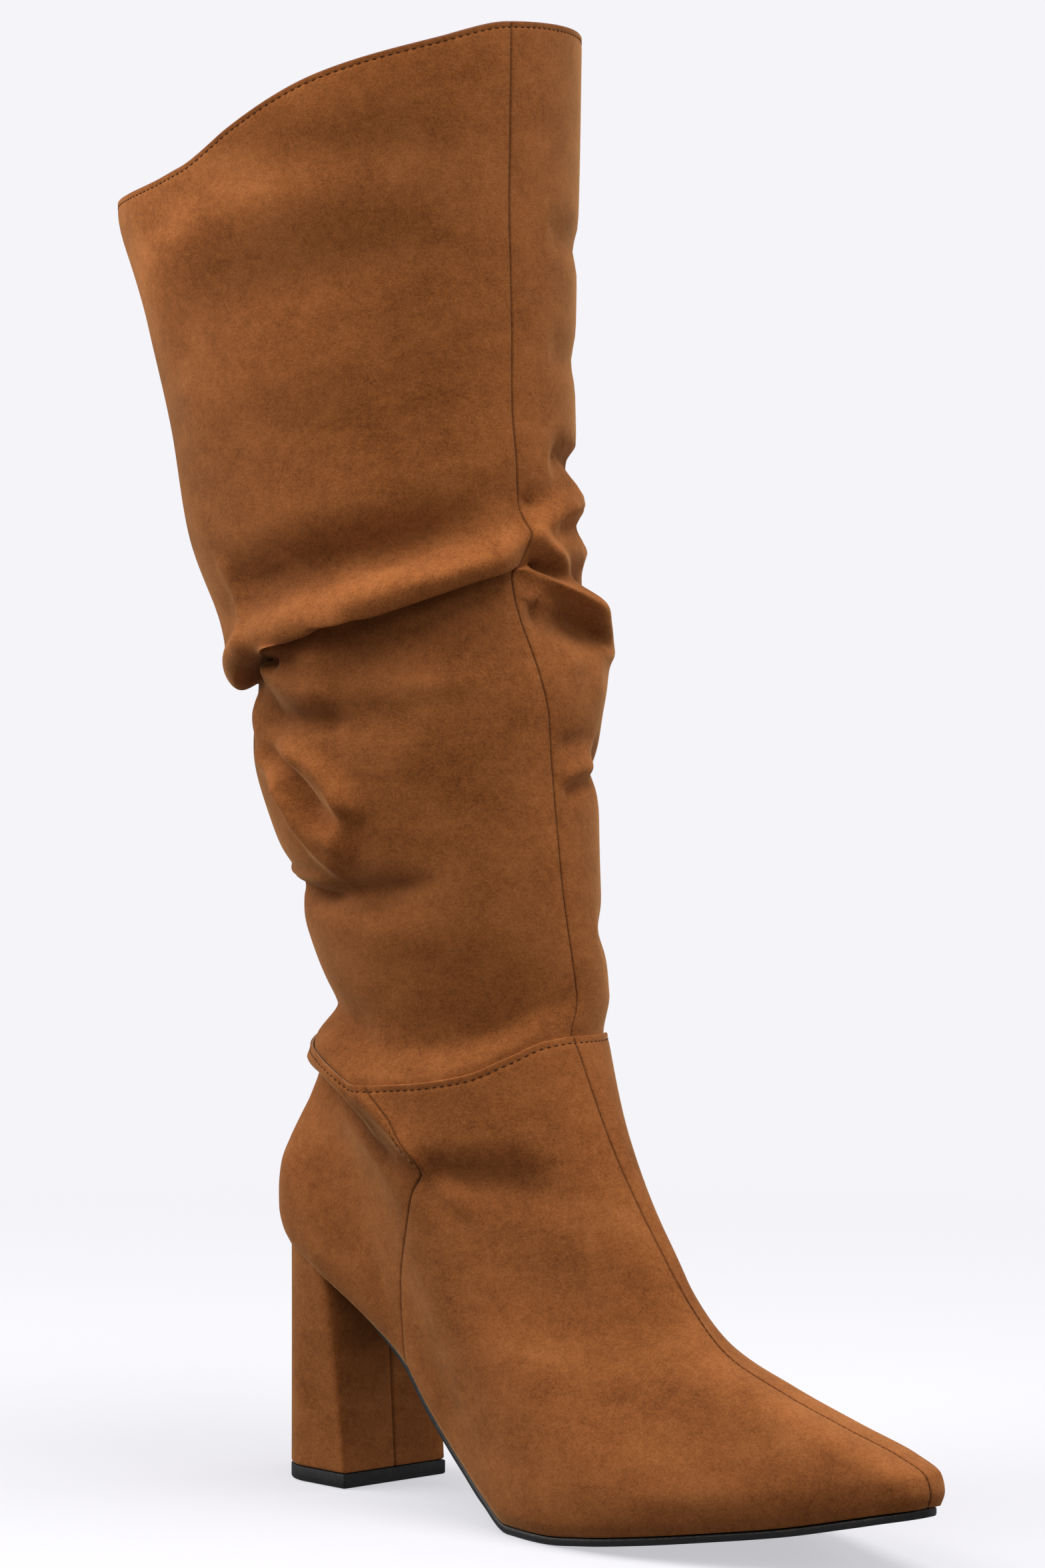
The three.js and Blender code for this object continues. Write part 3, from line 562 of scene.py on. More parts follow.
def shaft_point(angle, start, z):
    """Outside of the shaft. start: where it leaves the foot part."""
    up = (z - ANKLE_HEIGHT) / SHAFT_HEIGHT
    outward, down = fold_shift(FOLDS + CREASES, angle, up, SHAFT_HEIGHT)
    shape = {key: at(angle) for key, at in roll_curve.items()}
    roll = roll_push(shape, (z - roll_z(angle)) / ROLL)
    outward = outward + ROLL * roll[0]
    down = down + ROLL * roll[1]
    free = ease(0, FREE_RISE, z - start[..., 2])
    turn = np.radians(angle)
    held = (start - oval_point(angle, start[..., 2])) * (1 - free)[..., None]
    push = np.stack([np.cos(turn) * outward, np.sin(turn) * outward, -down], -1)
    return oval_point(angle, z) + held + push * free[..., None]


def ring_normals(rings):
    """Outward direction at each point of a stack of closed rings."""
    around = np.roll(rings, -1, 1) - np.roll(rings, 1, 1)
    above = np.concatenate([rings[1:], rings[-1:]])
    below = np.concatenate([rings[:1], rings[:-1]])
    return unit(np.cross(around, above - below))


def columns(total, spots):
    """Places around the boot, closer together near spots of (angle, spread, extra)."""
    fine = np.linspace(-180, 180, FINE_PLACES)
    weight = np.ones_like(fine)
    for angle, spread, extra in spots:
        weight += extra * bump(angle_off(fine, angle), spread)
    grown = np.concatenate([[0], np.cumsum((weight[1:] + weight[:-1]) / 2)])
    return np.interp(np.arange(total) / total * grown[-1], grown, fine)


def share_below(angle, drop):
    """Share of the foot part's height that lies a distance below the ankle seam."""
    target = foot_point(angle, 1)[..., 2] - drop
    low = np.full(np.shape(target), FOOT_ROWS[-4][0], float)
    high = np.ones_like(low)
    for _ in range(HALVINGS):
        middle = (low + high) / 2
        under = foot_point(angle, middle)[..., 2] < target
        low = np.where(under, middle, low)
        high = np.where(under, high, middle)
    return (low + high) / 2


def counter_angle(up, side):
    """Angle of the counter seam at shares of the height, on one side of the foot."""
    tries = np.linspace(*COUNTER_SEARCH)
    places = foot_point(side * tries[None, :], up[:, None])
    off = places[..., 0] - counter_x(places[..., 2])
    after = np.clip(np.argmax(off < 0, 1), 1, None)
    rows = np.arange(len(up))
    before = off[rows, after - 1]
    step = before / (before - off[rows, after])
    return side * (tries[after - 1] + step * (tries[1] - tries[0]))


def foot_grid():
    """Grid whose columns run along the front seam, the back seam and both counter seams."""
    base = columns(FOOT_COLUMNS, FOOT_SPOTS)
    lower = np.linspace(0, 1, FOOT_LEVELS)[:-1] ** FOOT_CROWDING
    checks = np.linspace(0, 1, CHECK_LEVELS)
    kernel = np.hanning(2 * SMOOTH_REACH + 1)
    kernel /= kernel.sum()
    sides = []
    for side in (-1, 1):
        padded = np.pad(counter_angle(checks, side), SMOOTH_REACH, mode="edge")
        sides.append(monotone(checks, np.convolve(padded, kernel, "valid")))
    lateral, medial = sides

    def along_seams(up):
        spots = [-180, -COUNTER_BASE, 0, COUNTER_BASE, 180]
        rows = []
        for mean in up.mean(1):
            rows.append(np.interp(base, spots, [-180, lateral(mean), 0, medial(mean), 180]))
        return np.array(rows)

    def shares_below(angle):
        top = [share_below(angle, drop) for drop in EDGE_DROPS]
        return np.array([top[0] * up for up in lower] + top)

    angles = along_seams(shares_below(base))
    shares = shares_below(angles[-1])
    return base, angles, shares, foot_point(angles, shares, FOOT_FOLDS + FOOT_CREASES)


# Meshes
def ring_faces(levels, sides):
    """Quads of a loop of closed rings, where the last ring joins the first."""
    level = np.arange(levels)[:, None]
    i = np.arange(sides)[None, :]
    a = level * sides + i
    b = level * sides + (i + 1) % sides
    c = (level + 1) % levels * sides + i
    d = (level + 1) % levels * sides + (i + 1) % sides
    return np.stack([a, b, d, c], -1).reshape(-1, 4)


def tube_faces(levels, sides):
    """Quads of an open stack of closed rings."""
    return ring_faces(levels, sides)[: (levels - 1) * sides]


def put(name, data):
    obj = bpy.data.objects.new(name, data)
    bpy.context.scene.collection.objects.link(obj)
    return obj


def make(name, points, faces, materials, indices=None, tone=None):
    mesh = bpy.data.meshes.new(name)
    mesh.from_pydata((np.asarray(points).reshape(-1, 3) * MM).tolist(), [], list(map(tuple, faces)))
    for finish in materials:
        mesh.materials.append(finish)
    if indices is not None:
        mesh.polygons.foreach_set("material_index", np.asarray(indices, dtype=np.int32))
    mesh.polygons.foreach_set("use_smooth", np.ones(len(mesh.polygons), dtype=bool))
    if tone is not None:
        layer = mesh.attributes.new("tone", "FLOAT", "POINT")
        layer.data.foreach_set("value", np.asarray(tone, dtype=np.float32).ravel())
    mesh.update()
    obj = put(name, mesh)
    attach(obj, "root")
    return obj


def nodes_of(name):
    finish = bpy.data.materials.new(name)
    finish.use_nodes = True
    tree = finish.node_tree
    return finish, tree, tree.nodes["Principled BSDF"]


def fill(tree, node, inputs):
    """Set each input of a node to a value, or link a socket to it."""
    for key, value in inputs.items():
        if isinstance(value, bpy.types.NodeSocket):
            tree.links.new(value, node.inputs[key])
        else:
            node.inputs[key].default_value = value


def add_node(tree, kind, inputs, output=0, **settings):
    """One output of a new node."""
    node = tree.nodes.new("ShaderNode" + kind)
    for key, value in settings.items():
        setattr(node, key, value)
    fill(tree, node, inputs)
    return node.outputs[output]


def noise(tree, scale, detail=2.0, rough=0.5, distortion=0.0, flat=1.0):
    """Noise over the boot's own coordinates. flat: how much wider than tall its patches are."""
    squeeze = {0: add_node(tree, "TexCoord", {}, "Object"), 1: (1, 1, flat)}
    inputs = {"Scale": scale, "Detail": detail, "Roughness": rough, "Distortion": distortion}
    inputs["Vector"] = add_node(tree, "VectorMath", squeeze, operation="MULTIPLY")
    return add_node(tree, "TexNoise", inputs)


def maths(tree, operation, first, second):
    return add_node(tree, "Math", {0: first, 1: second}, operation=operation)


def blend_noises(tree, parts):
    """One half plus each noise's swing about its middle, times its weight."""
    total = 0.5
    for texture, weight in parts:
        swing = maths(tree, "MULTIPLY", maths(tree, "SUBTRACT", texture, 0.5), weight)
        total = maths(tree, "ADD", swing, total)
    return total


def ramp(tree, value, stops):
    node = tree.nodes.new("ShaderNodeValToRGB")
    while len(node.color_ramp.elements) < len(stops):
        node.color_ramp.elements.new(0.5)
    for element, (place, colour) in zip(node.color_ramp.elements, stops):
        element.position = place
        element.color = (*colour, 1)
    tree.links.new(value, node.inputs["Fac"])
    return node.outputs["Color"]


def relief_of(tree, height, strength, size):
    """Bump from a height value, with the size of its relief in millimetres."""
    inputs = {"Strength": strength, "Distance": size * MM, "Height": height}
    return add_node(tree, "Bump", inputs)


def suede(name, dark, middle, light):
    """Short matt pile: large and small patches, a fine grain, and a soft sheen at the edges."""
    finish, tree, shader = nodes_of(name)
    patches = noise(tree, scale=18, detail=3, rough=0.55, distortion=0.4, flat=1.8)
    brushed = noise(tree, scale=60, detail=3, rough=0.6, distortion=0.6, flat=1.5)
    flecks = noise(tree, scale=420, detail=3, rough=0.6)
    grain = noise(tree, scale=1500, detail=2, rough=0.6)
    parts = [(patches, 0.5), (brushed, 0.45), (flecks, 0.35), (grain, 0.6)]
    colour = ramp(tree, blend_noises(tree, parts), [(0.25, dark), (0.5, middle), (0.78, light)])
    # The tone attribute scales the colour: painted light and shade on folds, patches and the roll,
    # and dark seam lines
    tone = add_node(tree, "Attribute", {}, "Fac", attribute_name="tone")
    shade = {0: colour, "Scale": tone}
    height = blend_noises(tree, [(grain, 1.0), (flecks, 0.8)])
    fill(tree, shader, {
        "Base Color": add_node(tree, "VectorMath", shade, operation="SCALE"),
        "Normal": relief_of(tree, height, strength=0.35, size=0.3),
        "Roughness": 0.95,
        "Specular IOR Level": 0.12,
        "Sheen Weight": 0.4,
        "Sheen Roughness": 0.35,
        "Sheen Tint": (1.0, 0.56, 0.24, 1),
    })
    return finish


def plain(name, dark, light, scale, roughness, size, specular=0.3):
    """Even finish between two colours. size: of its relief."""
    finish, tree, shader = nodes_of(name)
    coarse = noise(tree, scale, detail=4, rough=0.6)
    fine = noise(tree, scale * 6, detail=3)
    value = blend_noises(tree, [(coarse, 0.9), (fine, 0.5)])
    fill(tree, shader, {
        "Base Color": ramp(tree, value, [(0.3, dark), (0.7, light)]),
        "Normal": relief_of(tree, value, strength=0.3, size=size),
        "Roughness": roughness,
        "Specular IOR Level": specular,
    })
    return finish


SUEDE = suede("tan suede", (0.165, 0.048, 0.011), (0.275, 0.088, 0.022), (0.385, 0.134, 0.039))
EDGE = plain("folded edge", (0.13, 0.045, 0.022), (0.22, 0.09, 0.05), 300, 0.8, 0.15)
LINING = plain("lining", (0.42, 0.27, 0.16), (0.5, 0.33, 0.2), 180, 0.7, 0.1)
THREAD = plain("thread", (0.055, 0.019, 0.007), (0.09, 0.032, 0.012), 1500, 0.9, 0.1, 0.1)
TAN_THREAD = plain("tan thread", (0.1, 0.034, 0.011), (0.15, 0.052, 0.018), 1500, 0.9, 0.1, 0.1)
RUBBER = plain("black rubber", (0.007, 0.007, 0.007), (0.016, 0.015, 0.015), 400, 0.5, 0.05, 0.45)
LIFT_RUBBER = plain("top lift rubber", (0.01, 0.01, 0.01), (0.022, 0.021, 0.02), 500, 0.75, 0.1)
GLUE = plain("glue line", (0.02, 0.018, 0.017), (0.09, 0.08, 0.07), 900, 0.7, 0.2)
INSOLE_LEATHER = plain("insole leather", (0.42, 0.25, 0.13), (0.52, 0.34, 0.2), 250, 0.6, 0.1)


def along_normals(rings, amount):
    return rings + ring_normals(rings) * np.asarray(amount)[..., None]


def groove(offset, depth, width, pinch, spread):
    """Depth of a seam at a distance from its line: a thin cut inside a soft valley."""
    return -depth * bump(offset, width) - pinch * bump(offset, spread)


def seam_shade(off):
    """Dark line of a seam, inside a soft shade."""
    return SEAM_DARK * bump(off, SEAM_WIDTH) + SEAM_SHADE * bump(off, SHADE_WIDTH)


def fold_highlight_and_shade(outward):
    """Painted highlight on fold ridges and painted shade in their troughs, by how far the folds
    push out.
    """
    return np.clip(FOLD_HIGHLIGHT_AND_SHADE * outward, *FOLD_HIGHLIGHT_AND_SHADE_RANGE)


# Patches of random mottling and of painted light and painted shade
def mottle_and_painted_light(patches, angles, share):
    total = np.zeros(np.shape(share))
    for angle, up, wide, tall, amount in patches:
        total += amount * bump(angle_off(angles, angle), wide) * bump(share - up, tall)
    return total


def wall_lip(edge, inside, shares, lifts):
    """Rings over the top of a wall, lifted to round it."""
    rings = [mix(edge, inside, share) for share in shares]
    return np.array(rings) + np.array(lifts)[:, None, None] * np.array([0, 0, 1])


def sleeve(name, outer, lip, lining, tone, finishes, starts):
    """Closed wall of a tube. starts: the levels at which the finishes after the first begin."""
    body = np.concatenate([outer, lip, lining])
    sides = outer.shape[1]
    tones = np.concatenate([tone, np.ones((len(lip) + len(lining), sides))])
    faces = ring_faces(len(body), sides)
    level = faces[:, 0] // sides
    slots = sum((level >= start).astype(int) for start in starts)
    return make(name, body, faces, finishes, slots, tones)


def make_foot():
    base, angles, shares, rings = foot_grid()
    girth = np.linalg.norm(np.roll(rings, -1, 1) - np.roll(rings, 1, 1), axis=-1)
    step = (np.roll(base, -1) - np.roll(base, 1)) % 360
    per_degree = girth / step[None, :]
    # Tone: painted highlight on fold ridges and painted shade in troughs, patches of mottling and
    # of painted light and shade, darker towards the feather edge, and dark seam lines
    fold_outward, _ = fold_shift(FOOT_FOLDS + FOOT_CREASES, angles, shares, FOOT_HEIGHT)
    tone = 1 + fold_highlight_and_shade(fold_outward) + mottle_and_painted_light(FOOT_MOTTLE_AND_PAINTED_LIGHT, angles, shares)
    tone -= FEATHER_DARK * ease(FEATHER_TOP, 0, shares)
    relief = np.zeros(shares.shape)
    for spot in (0, 180, -COUNTER_BASE, COUNTER_BASE):
        off = angle_off(base, spot)[None, :] * per_degree
        relief += groove(off, *FOOT_SEAM)
        tone -= seam_shade(off)
    drop = rings[-1:, :, 2] - rings[..., 2]
    relief += groove(drop - STITCH_DROP, *ANKLE_GROOVE) * (drop < ANKLE_REACH)
    outer = along_normals(rings, relief)
    wall = mix(WALL, EDGE_WALL, ease(*EDGE_THINNING, drop))
    inner = along_normals(rings, -wall)
    inner[-1, :, 2] = rings[-1, :, 2]
    inner[0, :, 2] = rings[0, :, 2]
    lip = wall_lip(outer[-1], inner[-1], (0.175, 0.5, 0.825), (0.22, 0.3, 0.22))
    keep = np.linspace(len(inner) - 1, 0, LINING_LEVELS).round().astype(int)
    finishes = [SUEDE, LINING]
    piece = sleeve("upper_suede", outer, lip, inner[keep], tone, finishes, [len(outer) + 1])
    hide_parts("upper")
    return base, outer


def shaft_heights(base, start_z):
    """Heights of the shaft's levels, closer together over the roll and at the collar."""
    collar = collar_z(base)
    low = roll_z(base) - ROLL_REACH
    high = roll_z(base) + ROLL_REACH
    spans = [
        (start_z, low, CALF_LEVELS),
        (low, high, ROLL_LEVELS),
        (high, collar - COLLAR_DROPS[0], LEG_LEVELS),
    ]
    levels = [
        mix(bottom, top, share)
        for bottom, top, count in spans
        for share in np.linspace(0, 1, count)[:-1]
    ]
    return np.array(levels + [collar - drop for drop in COLLAR_DROPS])


def shaft_shade(angles, heights):
    """Where the shaft's suede is painted lighter or darker: painted light and shade on folds, in
    patches that are partly mottling, and at the roll.
    """
    share = (heights - ANKLE_HEIGHT) / SHAFT_HEIGHT
    fold_outward, _ = fold_shift(FOLDS + CREASES, angles, share, SHAFT_HEIGHT)
    shade = fold_highlight_and_shade(fold_outward) + mottle_and_painted_light(SHAFT_MOTTLE_AND_PAINTED_LIGHT, angles, share)
    across = (heights - roll_z(angles)) / ROLL
    hang = np.clip(roll_curve["tuck"](angles) / FULL_TUCK, 0, 1)
    # Painted shade under the roll's lip, and painted light on its crown and in the valley above it
    for place, spread, amount in ROLL_LIGHT_AND_SHADE:
        shade += hang * amount * bump(across - place, spread)
    return shade


def shaft_lining(base, rings, start_z):
    """Inside of the shaft, which spans the hollows of the folds and stays clear of them."""
    levels = [mix(start_z, collar_z(base), share) for share in np.linspace(0, 1, LINING_LEVELS)]
    heights = np.array([start_z - TUCK] + levels)
    turn = np.radians(base)
    out = np.stack([np.cos(turn), np.sin(turn)], -1)
    side = np.stack([-np.sin(turn), np.cos(turn)], -1)
    offset = rings[..., :2] - oval_point(base[None, :], rings[..., 2])[..., :2]
    away = (offset * out).sum(-1)
    beside = (offset * side).sum(-1)
    reach, sideways = np.empty((2, *heights.shape))
    for i in range(len(base)):
        z = rings[:, i, 2]
        order = np.argsort(z)
        level = heights[:, i]
        near_rows = np.abs(z[None, :] - level[:, None]) < LINING_WINDOW
        seen = np.where(near_rows, away[None, :, i], np.inf).min(1)
        reach[:, i] = np.where(np.isinf(seen), np.interp(level, z[order], away[order, i]), seen)
        sideways[:, i] = np.interp(level, z[order], beside[order, i])
    span = 2 * SMOOTH_REACH + 1
    tight = np.min([np.roll(reach, step - SMOOTH_REACH, 1) for step in range(span)], 0)
    padded = np.pad(tight, ((SMOOTH_REACH, SMOOTH_REACH), (0, 0)), mode="edge")
    smooth = sum(padded[step : step + len(tight)] for step in range(span)) / span
    reach = np.minimum(smooth, tight) - WALL
    lining = oval_point(base[None, :], heights)
    lining[..., :2] += reach[..., None] * out + sideways[..., None] * side
    return lining, out


def make_shaft():
    base = columns(SHAFT_COLUMNS, SHAFT_SPOTS)
    lap = np.array([foot_point(base, share_below(base, drop)) for drop in LAP_DROPS])
    lap = along_normals(lap, np.full(lap.shape[:2], -EDGE_STEP))
    start = lap[-1].copy()
    start[:, 2] = foot_point(base, 1)[:, 2]
    heights = shaft_heights(base, start[:, 2])
    angles = base + seam_angle(heights) * bump(base, SEAM_DRIFT)
    rings = np.concatenate([lap[:-1], shaft_point(angles, start[None], heights)])
    drop = rings[-1:, :, 2] - rings[..., 2]
    front = base[None, :] * FRONT_DEGREE
    back = angle_off(base, 180)[None, :] * BACK_DEGREE
    relief = groove(front, *SHAFT_SEAM) + groove(back, *SHAFT_SEAM)
    relief = relief + groove(drop - STITCH_DROP, *COLLAR_GROOVE) * (drop < COLLAR_DROPS[0])
    outer = along_normals(rings, relief)
    shade = shaft_shade(angles, heights)
    shade = np.concatenate([np.zeros((len(lap) - 1, len(base))), shade])
    tone = 1 + shade - seam_shade(front) - SEAM_DARK * bump(back, SEAM_WIDTH)
    lining, out = shaft_lining(base, rings, start[:, 2])
    lining[-1] = outer[-1]
    lining[-1, :, :2] -= out * WALL
    lip = wall_lip(outer[-1], lining[-1], (0.12, 0.5, 0.88), (0.3, 0.42, 0.3))
    finishes = [SUEDE, EDGE, LINING]
    starts = [len(outer) - 1, len(outer) + 2]
    piece = sleeve("shaft_suede", outer, lip, lining[::-1], tone, finishes, starts)
    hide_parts("shaft")
    return outer


foot_base, foot_outer = make_foot()
shaft_outer = make_shaft()


# Heel: points around it, levels with the inset that rounds its ends, the radius of its corners
# at the floor and at the top, and where its front face is
HEEL_POINTS = 240
LOOP_POINTS = 300
CAP_SHARES = (0.35, 0.7)
HEEL_FLARE = 1.7
HEEL_ENDS = [(0, 0.5), (0.004, 0.15), (0.012, 0), (0.99, 0), (1, 0.3)]
HEEL_MIDDLE = (0.03, 0.98, 44)
HEEL_CORNERS = (1.5, 4.0)
FRONT_BAND = 3
FRONT_FACE = BREAST - 2
HEEL_SEAM_DARK = 0.55
HEEL_SEAM_WIDTH = 0.45

# Top lift: corner, half of its length, and rings of height and inset
LIFT_CORNER = 0.6
LIFT_SPAN = 19
LIFT_RINGS = [(0, 0.5), (0.15, 0.2), (0.5, 0), (LIFT - 0.3, 0), (LIFT, 0.3)]

# Outsole and insole: levels, strips across, and the rim as shares of the thickness and the edge
PLATE_LEVELS = 150
PLATE_STRIPS = 15
RIM = [(0.125, 0.12), (0.3, 0), (0.7, 0), (0.875, 0.12)]
RIM_INSET = 0.5
RIM_LIMIT = 0.3
GLUE_COLUMNS = (PLATE_STRIPS + 2, PLATE_STRIPS + 3, 2 * PLATE_STRIPS + 4)


def lift_width(x):
    back = np.clip((x - LIFT_BACK) / LIFT_ROUND, 0, 1)
    return (LIFT_WIDTH / 2) * np.sqrt(1 - (1 - back) ** 2)


def heel_outline(level):
    """Points around the back of the heel from one corner of the breast to the other."""
    around = np.linspace(-1, 1, HEEL_POINTS)
    forward = 1 - np.cos(np.abs(around) * math.pi / 2)
    low_x = mix(LIFT_BACK, LIFT_FRONT, forward)
    high_x = mix(SEAT_BACK, BREAST, forward)
    share = sole_share(high_x)
    high_y = np.maximum(sole_width(share, around > 0) - HEEL_INSET, 0)
    x = mix(low_x, high_x, level)
    y = np.sign(around) * mix(lift_width(low_x), high_y, level**HEEL_FLARE)
    z = mix(LIFT + GAP, feather_z(share) - GAP, level)
    return np.stack([x, y, z], -1)


def rounded_loop(outline, radius):
    """Closed loop from an outline, with its corners softened, starting mid-front."""
    front = (outline[0] + outline[-1]) / 2
    path = np.concatenate([front[None], outline, front[None]])
    run = run_along(path)
    spacing = run[-1] / LOOP_POINTS
    loop = between(np.arange(LOOP_POINTS) * spacing, run, path)
    reach = int(3 * radius / spacing)
    weights = bump(np.arange(-reach, reach + 1) * spacing, radius)
    weights /= weights.sum()
    return sum(w * np.roll(loop, k - reach, 0) for k, w in enumerate(weights))


def capped(loops):
    """Points and faces of a stack of loops, closed by shrinking rings at both ends."""
    def cap(loop):
        centre = loop.mean(0)
        return [mix(loop, centre, share) for share in CAP_SHARES], centre

    low, low_centre = cap(loops[0])
    high, high_centre = cap(loops[-1])
    stack = low[::-1] + list(loops) + high
    points = np.concatenate([np.concatenate(stack), [low_centre, high_centre]])
    sides = len(loops[0])
    faces = tube_faces(len(stack), sides).tolist()
    last = len(stack) * sides
    for i in range(sides):
        j = (i + 1) % sides
        faces.append((j, i, last))
        faces.append((last - sides + i, last - sides + j, last + 1))
    return points, faces


def make_heel():
    ends, insets = zip(*HEEL_ENDS)
    levels = np.sort(np.concatenate([ends, np.linspace(*HEEL_MIDDLE)]))
    loops = []
    for level, inset in zip(levels, np.interp(levels, ends, insets)):
        loop = rounded_loop(heel_outline(level), mix(*HEEL_CORNERS, level))
        ahead = np.roll(loop, -1, 0) - np.roll(loop, 1, 0)
        out = unit(np.stack([-ahead[:, 1], ahead[:, 0]], -1))
        seam = np.where(loop[:, 0] > loop[:, 0].max() - FRONT_BAND, loop[:, 1], FAR)
        loop[:, :2] += out * (groove(seam, *HEEL_SEAM) - inset)[:, None]
        loops.append(loop)
    points, faces = capped(loops)
    seam = np.where(points[:, 0] < FRONT_FACE, FAR, points[:, 1])
    tone = 1 - HEEL_SEAM_DARK * bump(seam, HEEL_SEAM_WIDTH)
    piece = make("heel_suede", points, faces, [SUEDE], tone=tone)
    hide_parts("heel")


def make_lift():
    loop = rounded_loop(heel_outline(0), LIFT_CORNER)
    loops = []
    for z, inset in LIFT_RINGS:
        ring = loop.copy()
        ring[:, :2] = mix(loop[:, :2], loop[:, :2].mean(0), inset / LIFT_SPAN)
        ring[:, 2] = z
        loops.append(ring)
    points, faces = capped(loops)
    piece = make("top_lift_rubber", points, faces, [LIFT_RUBBER])
    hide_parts("top_lift")


def plate(name, start, end, width, top, depth, edge, finishes, replaced):
    """Plate that follows the sole, with softened edges and, with two finishes, a line of glue."""
    turn = np.linspace(math.acos(1 - 2 * start), math.acos(1 - 2 * end), PLATE_LEVELS)
    share = (1 - np.cos(turn)) / 2
    thick = depth(share)
    under = feather_z(share) + top - thick
    strips = np.linspace(-1, 1, PLATE_STRIPS)
    flat = [(strip, RIM_INSET if abs(strip) == 1 else 0) for strip in strips]
    spots = [(strip, inset, 0) for strip, inset in flat]
    spots += [(1, inset, height) for height, inset in RIM]
    spots += [(strip, inset, 1) for strip, inset in flat[::-1]]
    spots += [(-1, inset, height) for height, inset in RIM[::-1]]
    points = []
    for strip, inset, height in spots:
        reach = width(share, strip > 0)
        y = strip * (reach - np.minimum(edge * inset, reach * RIM_LIMIT))
        points.append(np.stack([sole_x(share), y, under + thick * height], -1))
    rings = np.stack(points, 1)
    count, sides = rings.shape[:2]
    quads = tube_faces(count, sides)
    glued = np.isin(quads[:, 0] % sides, GLUE_COLUMNS) & (len(finishes) > 1)
    first = list(range(sides))[::-1]
    last = [(count - 1) * sides + i for i in range(sides)]
    faces = quads.tolist() + [first, last]
    slots = np.concatenate([glued, [0, 0]])
    piece = make(name, rings, faces, finishes, slots)
    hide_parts(replaced)


def insole_width(share, inner):
    wide = sole_width((share - INSOLE_BACK) / (INSOLE_FRONT - INSOLE_BACK), inner)
    return wide - INSOLE_INSET * np.minimum(1, wide / (3 * INSOLE_INSET))


def outsole_width(share, inner):
    """The sole's own edge, drawn in beside the heel and at the tip."""
    wide = sole_width(share / OUTSOLE_END, inner)
    return wide - SHANK_INSET * (1 - ease(BREAST, SHANK_END, sole_x(share)))


def outsole_depth(share):
    return SOLE * mix(SHANK_THIN, 1, ease(BREAST, SHANK_END, sole_x(share)))


make_heel()
make_lift()
plate(
    "outsole_rubber", sole_share(BREAST + GAP), OUTSOLE_END, outsole_width, -GAP,
    outsole_depth, 0.9, [RUBBER, GLUE], "outsole",
)
plate(
    "insole_leather", INSOLE_BACK, INSOLE_FRONT, insole_width, INSOLE,
    lambda share: INSOLE, 0.8, [INSOLE_LEATHER], "insole",
)


# Stitches: sections (shares of length and radius, rise in radii), and how they lie
STITCH_STOPS = [
    (-0.5, 0.35, -1.6), (-0.4, 0.85, -0.6), (-0.2, 1, 0),
    (0.2, 1, 0), (0.4, 0.85, -0.6), (0.5, 0.35, -1.6),
]
STITCH_SIDES = 8
LOOK_AHEAD = 0.3
COUNTER_STITCH_SHIFT = 1.2
TOE_STITCH_LEVELS = (1, 52)


def even_path(points, normals, pitch):
    """Places a pitch apart along a path, with their directions and normals."""
    run = run_along(points)
    count = max(2, round(run[-1] / pitch))
    even = (np.arange(count) + 0.5) / count * run[-1]
    after, before = [between(even + step, run, points) for step in (LOOK_AHEAD, -LOOK_AHEAD)]
    ahead = unit(after - before)
    up = between(even, run, normals)
    up = unit(up - ahead * (up * ahead).sum(1, keepdims=True))
    return between(even, run, points), ahead, up


def stitches(name, rows, length, radius, sink, thread=THREAD):
    """Small threads with both ends sunk in. rows: results of even_path."""
    places, ahead, up = [np.concatenate(parts) for parts in zip(*rows)]
    side = np.cross(up, ahead)
    points = []
    for along, thick, rise in STITCH_STOPS:
        centre = places + ahead * (along * length) + up * (rise * radius - sink)
        for angle in np.linspace(0, 2 * math.pi, STITCH_SIDES, endpoint=False):
            off = side * math.cos(angle) + up * math.sin(angle)
            points.append(centre + off * (radius * thick))
    points = np.stack(points, 1)
    total = len(STITCH_STOPS) * STITCH_SIDES
    body = tube_faces(len(STITCH_STOPS), STITCH_SIDES)
    ends = [list(range(STITCH_SIDES))[::-1], list(range(total - STITCH_SIDES, total))]
    faces = []
    for i in range(len(places)):
        faces += (body + i * total).tolist()
        faces += [[corner + i * total for corner in end] for end in ends]
    make(name, points, faces, [thread])


def column_path(outer, base, spot, low, high, shift=0.0):
    """Path up a column of a grid, moved sideways by a distance."""
    order = np.argsort(base)

    def up_column(grid):
        return np.array([between(spot, base[order], ring[order]) for ring in grid[low:high]])

    points = up_column(outer)
    ups = up_column(ring_normals(outer))
    side = unit(np.cross(ups, np.gradient(points, axis=0)))
    return points + side * shift, ups


def level_of(outer, drops, drop):
    """Level of a grid that lies a distance below its edge."""
    return len(outer) - len(drops) + drops.index(drop)


def edge_path(outer, drops, pitch):
    """Closed path of the stitches along an edge."""
    level = level_of(outer, drops, STITCH_DROP)
    sides = outer.shape[1]
    around = np.arange(sides + 1) % sides
    return even_path(outer[level][around], ring_normals(outer)[level][around], pitch)


